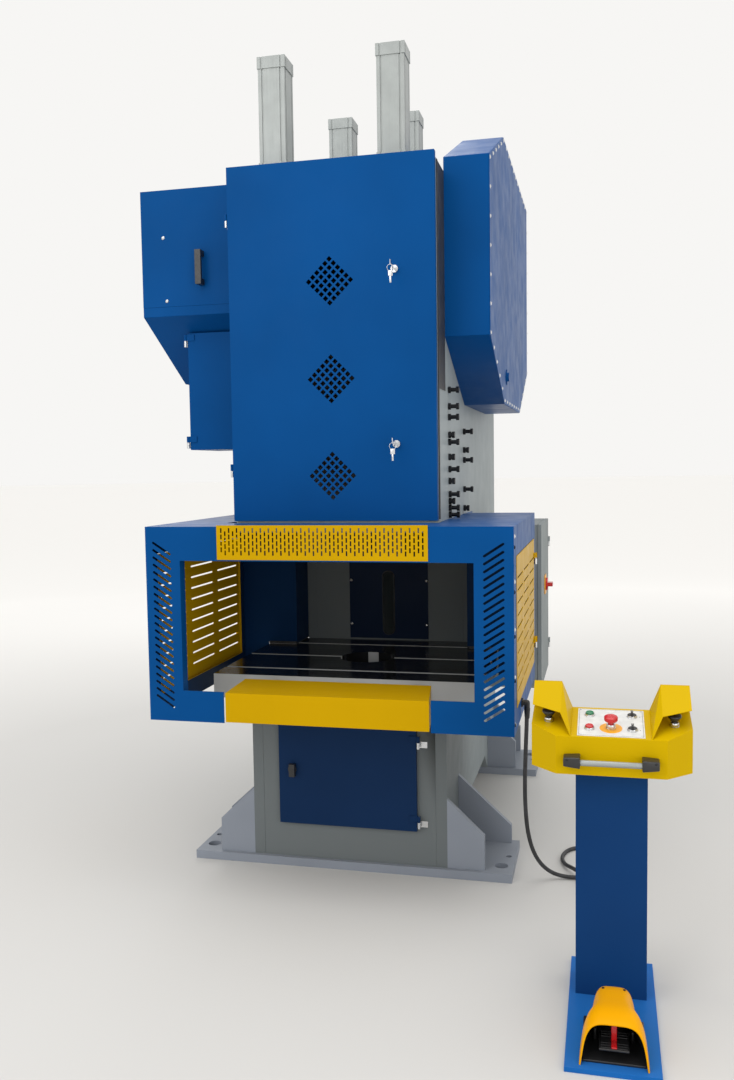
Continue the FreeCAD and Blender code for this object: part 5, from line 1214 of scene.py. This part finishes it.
@dataclass
class Guard:
    """Guard round the die space."""

    edge: float = 1.0 * MM
    wall_x: Pair = (-0.677, 0.717)
    screw_y: float = -1.248
    screw_z: tuple[float, ...] = (0.735, 0.893, 1.051, 1.209, 1.367)
    inner_y: float = -1.25
    wall_near: float = 0.3
    roof_low: float = 1.3
    screw_size: Pair = (7.0 * MM, 4.0 * MM)
    rubbers: tuple[Slab, ...] = (
        Slab("upright", (-417.0, -46.0, 814.5), (-410.2, -28.0, 1430.0), 1.0),
        Slab("sill", (-417.0, -230.0, 814.5), (-410.2, -28.0, 827.0), 1.0),
        Slab("kerb", (-550.0, -230.0, 814.5), (-410.2, -223.5, 827.0), 1.0),
        Slab("upright", (410.2, -46.0, 814.5), (417.0, -38.5, 1430.0), 1.0),
        Slab("sill", (410.2, -230.0, 814.5), (417.0, -38.5, 827.0), 1.0),
        Slab("kerb", (410.2, -230.0, 814.5), (550.0, -223.5, 827.0), 1.0))
    slot_z: float = 0.833
    slot_pitch: float = 0.046
    slot_rows: int = 10
    slot_reach: float = 0.009
    slot_squeeze: float = 0.55

    def inside(self, centre: Vector, normal: Vector) -> bool:
        """Whether a face looks into the die space, where the guard's blue is painted darker as shade.

        Args:
            centre: Centre of the face.
            normal: Its normal.

        Returns:
            True for the inner side of a wall, of the front or of the roof.
        """
        wall = centre.x * normal.x < 0 and abs(centre.x) > self.wall_near and abs(normal.x) > FACING
        roof = normal.z < -FACING and centre.z > self.roof_low
        return centre.y > self.inner_y and (wall or roof or normal.y < -FACING)

    def trims(self) -> None:
        """Black rubber along the edges of the return sheets beside the throat."""
        deliver(slab_group(self.rubbers, "return_trims"), HOSE, "press_frame")

    def slim_slots(self, door: Piece) -> None:
        """Draw the lips of a side door's slots together.

        Args:
            door: Finished leaf.
        """
        centres = [self.slot_z + row * self.slot_pitch for row in range(self.slot_rows)]
        for vertex in door.data.vertices:
            centre = min(centres, key=lambda z: abs(vertex.co.z - z))
            if abs(vertex.co.z - centre) < self.slot_reach:
                vertex.co.z = centre + (vertex.co.z - centre) * self.slot_squeeze

    def build(self) -> None:
        """Round and dress the guard's sheets and screw its corners."""
        # Faces that look into the die space take the darker blue, a painted shade.
        rounded_copy("guard_frame", self.edge, BLUE, "press_frame",
                     extra=[(SHADED_GUARD_BLUE, self.inside)])
        rounded_copy("front_tray", self.edge, YELLOW, "press_frame")
        dress_node("perforated_panel", YELLOW)
        for side in ("left", "right"):
            self.slim_slots(rounded_copy("guard_door_" + side, self.edge, YELLOW, "guard_door_" + side))
        places = [((x, self.screw_y, z), turn_z_to((way, 0, 0)))
                  for x, way in zip(self.wall_x, (-1, 1)) for z in self.screw_z]
        screws = copies(dome_screw("corner_screw", *self.screw_size), places, "guard_corner_screws")
        deliver(screws, DARK_STEEL, "press_frame")
        self.trims()


# ---------------------------------------------------------------- console
@dataclass
class Console:
    """Two-hand console on its column. Deck places are (across, up the deck, proud of it)."""

    corner: Point = (1.044, -1.815, 0.858)
    base_top: float = 0.0142
    tilt: float = 12.0
    legend: float = 1.5 * MM
    button_u: float = 0.062
    rows: Pair = (0.055, 0.143)
    stop_v: float = 0.062
    palm: Pair = (0.182, 0.096)
    bezel: Profile = (
        (15.4, 0.0), (15.4, 1.6), (14.6, 2.2), (14.6, 5.6), (13.9, 6.8), (12.9, 6.9), (12.4, 6.0),
        (12.3, 1.0))
    collar: Profile = (
        (14.0, 0.0), (14.0, 2.6), (12.6, 3.4), (12.6, 6.4), (13.6, 7.2), (13.6, 12.2), (12.6, 13.7),
        (9.2, 13.7), (8.7, 13.0), (8.6, 0.6))
    push_cap: Profile = (
        (11.9, 5.5), (11.9, 9.8), (11.3, 10.8), (10.4, 10.9), (8.6, 10.3), (0.6, 9.9))
    stop_head: Profile = (
        (7.9, 6.5), (7.9, 20.6), (13.0, 21.0), (14.2, 22.2), (18.8, 24.6), (20.0, 26.4), (20.0, 34.6),
        (19.2, 36.6), (15.6, 38.6), (9.0, 39.8), (0.6, 40.0))
    palm_head: Profile = (
        (7.9, 6.5), (7.9, 20.6), (12.4, 21.0), (13.4, 22.0), (16.0, 26.5), (19.4, 30.4), (20.0, 32.0),
        (20.0, 34.4), (19.0, 36.4), (14.6, 38.4), (8.0, 39.5), (0.6, 39.8))
    stop_ring: Profile = ((33.0, 0.0), (33.0, 0.5), (32.4, 0.8), (14.4, 0.8))
    stop_rise: float = 0.8 * MM
    knob: Profile = ((11.9, 1.4), (11.9, 7.2), (11.0, 8.2), (0.6, 8.2))
    knob_grip: Slab = Slab("grip", (-3.4, -10.8, 7.6), (3.4, 10.8, 17.6), 1.2)
    knob_pointer: Slab = Slab("pointer", (-0.7, 1.5, 17.4), (0.7, 9.5, 17.9), 0.15)
    round_sides: int = 36
    round_smooth: float = 38.0
    stand_edge: float = 2.0 * MM
    sheet_edge: float = 0.9 * MM
    legend_edge: float = 0.3 * MM
    border_u: float = 0.093
    border_v: Pair = (0.012, 0.183)
    line: float = 0.9 * MM
    line_rise: float = 0.16 * MM
    line_edge: float = 0.04 * MM
    tick_u: Pair = (0.0835, 0.0847)
    tick_half: float = 3.0 * MM
    legend_screw_u: float = 0.0885
    legend_screw_v: Pair = (0.0165, 0.1785)
    legend_screw_size: Pair = (2.4 * MM, 1.2 * MM)
    bar_place: Point = (1.044, -1.849, 0.791)
    bar: Profile = ((8.2, -103.0), (8.5, -102.5), (8.5, 102.5), (8.2, 103.0))
    bar_sides: int = 28
    bracket_face: float = -1.8152
    bracket_x: Pair = (0.087, 0.135)
    bracket_y: float = 12.8 * MM
    bracket_z: Pair = (-18.0 * MM, 19.0 * MM)
    bracket_end: Point = (1, 0.8, 0.82)
    bracket_front: Point = (1, 1, 0.86)
    bracket_edge: float = 3.2 * MM
    bracket_steps: int = 3
    bracket_screw: Point = (0.125, -4.0 * MM, 8.0 * MM)
    bracket_screw_size: Pair = (4.0 * MM, 2.2 * MM)
    bracket_screw_lean: float = 0.35

    def deck(self, u: float, v: float, w: float = 0.0) -> tuple[Point, Matrix]:
        """Place and turn of a point on the deck."""
        turn = Matrix.Rotation(math.radians(self.tilt), 4, "X")
        return tuple(Vector(self.corner) + turn @ Vector((u, v, w))), turn

    def round_part(self, name: str, profile: Sequence[Pair]) -> Piece:
        """Turned part of the console.

        Args:
            name: Name of the piece.
            profile: Radius and height of each ring in millimetres.

        Returns:
            The new object, at the origin.
        """
        piece = turned(name, in_metres(profile), self.round_sides)
        smooth(piece, self.round_smooth)
        return piece

    def rings(self) -> None:
        """Chromed rings and collars, and the coloured ring under the stop."""
        spots = [self.deck(u, v, self.legend) for u in (-self.button_u, self.button_u) for v in self.rows]
        small = copies(self.round_part("bezel", self.bezel), spots, "small_bezels")
        tall = copies(self.round_part("collar", self.collar), [
            self.deck(0.0, self.stop_v, self.legend + self.stop_rise),
            self.deck(-self.palm[0], self.palm[1]), self.deck(*self.palm)], "mushroom_collars")
        deliver(join([small, tall], "chromed_rings"), BRIGHT, "press_frame",
                ["button_bezels"])
        ring = stand(self.round_part("stop_ring", self.stop_ring), *self.deck(0.0, self.stop_v, self.legend))
        deliver(ring, AMBER, "press_frame")

    def heads(self) -> None:
        """Push buttons and mushroom heads, each on its own body."""
        (front, rear), (palm_u, palm_v) = self.rows, self.palm
        on_ring = self.legend + self.stop_rise
        for node, finish, profile, place in (
                ("green_button", GREEN, self.push_cap, (-self.button_u, rear, self.legend)),
                ("red_button", RED, self.push_cap, (-self.button_u, front, self.legend)),
                ("emergency_stop", RED, self.stop_head, (0.0, self.stop_v, on_ring)),
                ("palm_button_left", BLACK, self.palm_head, (-palm_u, palm_v, 0.0)),
                ("palm_button_right", BLACK, self.palm_head, (palm_u, palm_v, 0.0))):
            piece = stand(self.round_part(node + "_cap", profile), *self.deck(*place))
            deliver(piece, finish, node, [node])

    def selectors(self) -> None:
        """Black knobs with a raised grip and a white pointer."""
        for node, v in (("selector_front", self.rows[0]), ("selector_rear", self.rows[1])):
            knob = self.round_part(node + "_knob", self.knob)
            parts = [dress(knob, BLACK), dress(self.knob_grip.make(), BLACK),
                     dress(self.knob_pointer.make(), WHITE)]
            piece = stand(join(parts, node + "_knob"), *self.deck(self.button_u, v, self.legend))
            deliver(piece, None, node, [node])

    def marks(self) -> None:
        """Plain border and pointer marks on the legend plate, and its corner screws."""
        u, (v0, v1), line = self.border_u, self.border_v, self.line
        bars = [((-u, v0), (u, v0 + line)), ((-u, v1 - line), (u, v1)),
                ((-u, v0), (-u + line, v1)), ((u - line, v0), (u, v1))]
        for v in self.rows:
            bars += [((self.tick_u[0], v - self.tick_half), (self.tick_u[1], v + self.tick_half))]
        pieces = []
        for low, high in bars:
            bar = block("mark", (*low, 0.0), (*high, self.line_rise), self.line_edge, 1)
            pieces.append(stand(bar, *self.deck(0.0, 0.0, self.legend)))
        deliver(join(pieces, "legend_marks"), BLACK, "press_frame")
        corners = [self.deck(way * self.legend_screw_u, v, self.legend)
                   for way in (-1, 1) for v in self.legend_screw_v]
        deliver(copies(dome_screw("legend_screw", *self.legend_screw_size), corners, "legend_screws"),
                BRIGHT, "press_frame")

    def handle(self) -> None:
        """Aluminium bar between two black end brackets."""
        x, y, z = self.bar_place
        bar = turned("handle_bar", in_metres(self.bar), self.bar_sides)
        smooth(bar)
        dress(stand(bar, self.bar_place, turn_z_to((1, 0, 0))), ALUMINIUM)
        parts = [bar]
        for way in (-1, 1):
            ends = sorted(x + way * across for across in self.bracket_x)
            bracket = block("bracket", (ends[0], y - self.bracket_y, z + self.bracket_z[0]),
                            (ends[1], self.bracket_face, z + self.bracket_z[1]))
            open_mesh(bracket)
            pick_faces(bracket, lambda centre, normal: normal.x * way > FACING)
            bpy.ops.transform.resize(value=self.bracket_end, center_override=(x, self.bracket_face, z))
            pick_faces(bracket, lambda centre, normal: normal.y < -FACING)
            bpy.ops.transform.resize(value=self.bracket_front, center_override=self.bar_place)
            bpy.ops.mesh.select_mode(type="EDGE")
            bpy.ops.mesh.select_all(action="SELECT")
            bpy.ops.mesh.bevel(offset=self.bracket_edge, segments=self.bracket_steps)
            close_mesh()
            smooth(bracket)
            across, before, above = self.bracket_screw
            screw = stand(dome_screw("bracket_screw", *self.bracket_screw_size),
                          (x + way * across, y + before, z + above),
                          turn_z_to((way * self.bracket_screw_lean, -1, 0)))
            parts += [dress(bracket, BLACK), dress(screw, DARK_STEEL)]
        deliver(join(parts, "console_grip"), None, "press_frame", ["console_handle"])

    def build(self) -> None:
        """Build and dress the console."""
        # The column takes the darker copy of the blue as painted shade; the base plate below base_top takes
        # its own blue.
        rounded_copy("control_stand", self.stand_edge, SHADED_STAND_BLUE, "press_frame", extra=[
            (BASE_BLUE, lambda centre, normal: centre.z < self.base_top)])
        rounded_copy("console", self.sheet_edge, CONSOLE_YELLOW, "press_frame")
        rounded_copy("legend_plate", self.legend_edge, WHITE, "press_frame", 1)
        self.rings()
        self.heads()
        self.selectors()
        self.marks()
        self.handle()


@dataclass
class FootSwitch:
    """Cast hood over a ribbed treadle, on the console's base plate.

    The hood's stations give y in metres, then half width and height in millimetres.
    """

    centre_x: float = 1.0535
    floor: float = 0.014
    wall: float = 5.0 * MM
    rim: float = 1.4 * MM
    rim_angle: float = 50.0
    hood_smooth: float = 48.0
    steps: int = 64
    stations: tuple[tuple[float, float, float], ...] = (
        (-2.068, 94.0, 108.0), (-2.050, 94.0, 114.0), (-2.020, 94.0, 121.0), (-1.990, 93.0, 125.0),
        (-1.968, 88.0, 125.0), (-1.945, 78.0, 123.0), (-1.926, 70.0, 121.0), (-1.908, 66.0, 120.0),
        (-1.885, 65.0, 119.0), (-1.860, 65.0, 117.0), (-1.842, 63.0, 113.0), (-1.830, 57.0, 104.0),
        (-1.823, 48.0, 91.0), (-1.8205, 38.0, 74.0))
    fullness: float = 4.2
    narrowing: float = 0.17
    lean: float = 0.26
    lean_end: int = 3
    cut: float = 1e-4
    screw_place: Point = (0.030, -1.860, 0.1145)
    screw_size: Pair = (4.5 * MM, 2.4 * MM)
    screw_lean: Pair = (0.10, 0.20)
    under_hood: tuple[Slab, ...] = (
        Slab("base", (-86.0, -2050.0, 0.2), (86.0, -1826.0, 7.0), 2.0, 3),
        Slab("lug", (-56.5, -1944.0, 4.0), (-47.5, -1920.0, 38.0), 3.0, 3),
        Slab("lug", (47.5, -1944.0, 4.0), (56.5, -1920.0, 38.0), 3.0, 3),
        Slab("switch_block", (-36.0, -1902.0, 4.0), (36.0, -1834.0, 62.0), 4.0, 3))
    pedal: Slab = Slab("treadle_plate", (-41.0, -2045.0, 48.4), (41.0, -1934.0, 54.4), 2.4, 3)
    ribs: tuple[float, ...] = (-2040.0, -2028.0, -2016.0, -1984.0, -1972.0, -1960.0)
    rib: Slab = Slab("rib", (-36.0, 0.0, 53.4), (36.0, 6.0, 56.6), 1.0)
    arms: tuple[Slab, ...] = (
        Slab("arm", (-41.5, -1970.0, 32.5), (-30.5, -1925.0, 50.0), 3.0, 3),
        Slab("arm", (30.5, -1970.0, 32.5), (41.5, -1925.0, 50.0), 3.0, 3))
    pin: Profile = ((4.6, -44.0), (4.9, -43.6), (4.9, 43.6), (4.6, 44.0))
    pin_place: Pair = (-1.932, 0.040)
    pin_sides: int = 20
    levers: tuple[Slab, ...] = (
        Slab("lever", (-7.8, -2006.0, 53.4), (7.8, -1998.5, 111.5), 2.4, 3),
        Slab("toe", (-7.8, -2042.0, 54.4), (7.8, -2000.0, 58.9), 1.6, 3))

    def hood(self) -> Piece:
        """Arch drawn back station by station, thickened inwards.

        Returns:
            The new object in its two finishes: yellow outside, and its inner shell black as painted shade
                inside the hood.
        """
        clear_selection()
        bpy.ops.mesh.primitive_circle_add(vertices=self.steps, radius=1.0, fill_type="NOTHING",
                                          rotation=(math.pi / 2, 0, 0))
        piece = bpy.context.active_object
        piece.name = "foot_switch_hood"
        settle(piece)
        open_mesh(piece, everything=False)
        bpy.ops.mesh.select_mode(type="VERT")
        close_mesh()
        for vertex in piece.data.vertices:
            vertex.select = vertex.co.z < -self.cut
        bpy.ops.object.mode_set(mode="EDIT")
        bpy.ops.mesh.delete(type="VERT")
        close_mesh()
        y, half, height = self.stations[0]
        for vertex in piece.data.vertices:
            angle = math.atan2(max(vertex.co.z, 0.0), vertex.co.x)
            across = math.copysign(abs(math.cos(angle)) ** (2 / self.fullness), vertex.co.x)
            rise = max(0.0, math.sin(angle)) ** (2 / self.fullness)
            vertex.co = (across * (1 - self.narrowing * rise) * half * MM, y, rise * height * MM)
        open_mesh(piece)
        bpy.ops.mesh.select_mode(type="EDGE")
        bpy.ops.mesh.select_all(action="SELECT")
        for (y0, half0, height0), (y1, half1, height1) in zip(self.stations, self.stations[1:]):
            bpy.ops.mesh.extrude_region_move(TRANSFORM_OT_translate={"value": (0, y1 - y0, 0)})
            bpy.ops.transform.resize(value=(half1 / half0, 1, height1 / height0),
                                     center_override=(0, y1, 0))
        bpy.ops.mesh.edge_face_add()
        bpy.ops.mesh.select_all(action="SELECT")
        bpy.ops.mesh.normals_make_consistent(inside=False)
        close_mesh()
        front = self.stations[0][0]
        reach = self.stations[self.lean_end][0] - front
        for vertex in piece.data.vertices:
            share = max(0.0, 1 - (vertex.co.y - front) / reach)
            vertex.co.y += share * self.lean * vertex.co.z
        stand(piece, (self.centre_x, 0.0, self.floor))
        dress(piece, HOOD_YELLOW)
        # The inner shell takes black, a painted shade inside the hood.
        piece.data.materials.append(Stock.get(BLACK))
        apply_modifier(piece, "SOLIDIFY", thickness=self.wall, offset=-1.0, material_offset=1)
        apply_modifier(piece, "BEVEL", width=self.rim, segments=2, limit_method="ANGLE",
                       angle_limit=math.radians(self.rim_angle))
        smooth(piece, self.hood_smooth)
        return piece

    def build(self) -> None:
        """Build the hood, the base and the treadle."""
        origin = (self.centre_x, 0.0, self.floor)
        black = slab_group(self.under_hood, "foot_switch_base", origin)
        smooth(black)
        deliver(black, BLACK, "press_frame")
        deliver(self.hood(), None, "press_frame", ["foot_switch"])
        across, y, above = self.screw_place
        screws = copies(dome_screw("hood_screw", *self.screw_size),
                        [((self.centre_x + way * across, y, self.floor + above),
                          turn_z_to((way * self.screw_lean[0], self.screw_lean[1], 1))) for way in (-1, 1)],
                        "hood_screws")
        deliver(screws, DARK_STEEL, "press_frame")
        self.treadle()

    def treadle(self) -> None:
        """Ribbed treadle with the red safety lever."""
        origin = (self.centre_x, 0.0, 0.0)
        plate = self.pedal.make(origin)
        ribs = [self.rib.make((self.centre_x, y * MM, 0.0)) for y in self.ribs]
        pin = turned("pin", in_metres(self.pin), self.pin_sides)
        stand(pin, (self.centre_x, *self.pin_place), turn_z_to((1, 0, 0)))
        arms = [slab.make(origin) for slab in self.arms]
        body = join([plate, *ribs, *arms, pin], "treadle")
        smooth(body)
        dress(body, BLACK)
        red = slab_group(self.levers, "lever", origin)
        smooth(red)
        dress(red, RED)
        deliver(join([body, red], "ribbed_treadle"), None, "foot_treadle", ["foot_treadle"])


# ---------------------------------------------------------------- studio
@dataclass(frozen=True)
class Lamp:
    """Square soft light: where it hangs, what it is aimed at, its side length and power."""

    name: str
    place: Point
    target: Point
    size: float
    watts: float

    def hang(self) -> None:
        """Put the light up."""
        data = bpy.data.lights.new(self.name, "AREA")
        data.size = self.size
        data.energy = self.watts
        light = bpy.data.objects.new(self.name, data)
        way = Vector(self.target) - Vector(self.place)
        turn = way.to_track_quat("-Z", "Y").to_matrix().to_4x4()
        light.matrix_world = Matrix.Translation(self.place) @ turn
        bpy.context.scene.collection.objects.link(light)


@dataclass
class Studio:
    """Pale floor, soft lights and the camera."""

    eye: Point = (1.027, -4.727, 1.65)
    yaw: float = 13.562
    pitch: float = 4.132
    roll: float = 0.852
    focal_px: float = 991.28
    image_height: float = 1080.0
    sensor: float = 36.0
    # Near the middle the floor is painted darker, a painted shade against the overhead lamp's pool of light.
    floor_painted_shade: Colour = (0.60, 0.592, 0.577)
    floor_far: Colour = (1.0, 0.991, 0.973)
    air: Colour = (0.93, 0.922, 0.905)
    floor_radius: float = 140.0
    floor_rim: float = 120.0
    floor_steps: int = 96
    floor_shade_fade: Pair = (2.6, 9.0)
    floor_cloud: Grain = (0.4, 2.0)
    floor_tones: Pair = (0.99, 1.01)
    floor_roughness: float = 0.9
    floor_gloss: float = 0.1
    far_clip: float = 200.0
    lamps: tuple[Lamp, ...] = (
        Lamp("key", (-3.0, -7.0, 4.5), (0.0, -0.6, 1.4), 4.0, 108.0),
        Lamp("fill", (4.0, -6.0, 2.0), (0.6, -0.8, 1.0), 3.0, 50.0),
        Lamp("rear", (-2.5, 6.0, 5.0), (0.0, 0.0, 1.8), 4.0, 90.0),
        Lamp("overhead", (0.4, -1.6, 6.4), (0.4, -1.4, 0.0), 5.0, 150.0))

    def ground(self) -> None:
        """Wide pale floor, painted darker near the middle as shade that cancels the overhead lamp's pool of
        light, and fading into the surround further out.
        """
        clear_selection()
        bpy.ops.mesh.primitive_circle_add(vertices=self.floor_steps, radius=self.floor_radius,
                                          fill_type="NGON")
        floor = bpy.context.active_object
        floor.name = "studio_floor"
        open_mesh(floor)
        bpy.ops.mesh.inset(thickness=self.floor_rim)
        close_mesh()
        graph = Graph("studio_paper")
        length = graph.nodes.new("ShaderNodeVectorMath")
        length.operation = "LENGTH"
        graph.links.new(graph.place, length.inputs[0])
        away = graph.spread(length.outputs["Value"], 0.0, 1.0, *self.floor_shade_fade)
        paper = graph.mottle(graph.noise(*self.floor_cloud), self.floor_painted_shade, *self.floor_tones)
        graph.colour(graph.mix(away, paper, self.floor_far))
        graph.set(Roughness=self.floor_roughness, Specular_IOR_Level=self.floor_gloss)
        floor.data.materials.append(graph.material)

    def light(self) -> None:
        """Soft key and rear lights in a pale surround."""
        for lamp in self.lamps:
            lamp.hang()
        world = bpy.data.worlds.new("surround")
        world.use_nodes = True
        sky = world.node_tree.nodes["Background"].inputs
        sky["Color"].default_value = (*self.air, 1.0)
        sky["Strength"].default_value = 1.0
        bpy.context.scene.world = world
        bpy.context.scene.view_settings.view_transform = "Standard"

    def camera(self) -> None:
        """Camera at the standing viewer's eye."""
        yaw, pitch, roll = (math.radians(a) for a in (self.yaw, self.pitch, self.roll))
        forward = Vector((-math.sin(yaw) * math.cos(pitch), math.cos(yaw) * math.cos(pitch),
                          -math.sin(pitch)))
        right = Vector((math.cos(yaw), math.sin(yaw), 0.0))
        down = forward.cross(right)
        across = math.cos(roll) * right + math.sin(roll) * down
        lower = -math.sin(roll) * right + math.cos(roll) * down
        data = bpy.data.cameras.new("viewer")
        data.sensor_fit = "VERTICAL"
        data.sensor_height = self.sensor
        data.lens = self.focal_px / self.image_height * self.sensor
        data.clip_end = self.far_clip
        camera = bpy.data.objects.new("viewer", data)
        turn = Matrix((across, -lower, -forward)).transposed().to_4x4()
        camera.matrix_world = Matrix.Translation(self.eye) @ turn
        bpy.context.scene.collection.objects.link(camera)
        bpy.context.scene.camera = camera

    def build(self) -> None:
        """Set the whole studio."""
        self.ground()
        self.light()
        self.camera()


def main() -> None:
    """Build the scene in order."""
    logging.basicConfig(level=logging.INFO, format="%(name)s %(message)s")
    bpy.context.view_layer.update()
    for assembly in (Studio(), ControlCable(), Weldment(), Mechanism(), DieArea(), Covers(), Cabinet(),
                     Guard(), Console(), FootSwitch()):
        LOG.info("building %s", type(assembly).__name__)
        assembly.build()
    clear_selection()
    bpy.context.view_layer.update()


if __name__ == "__main__":
    main()
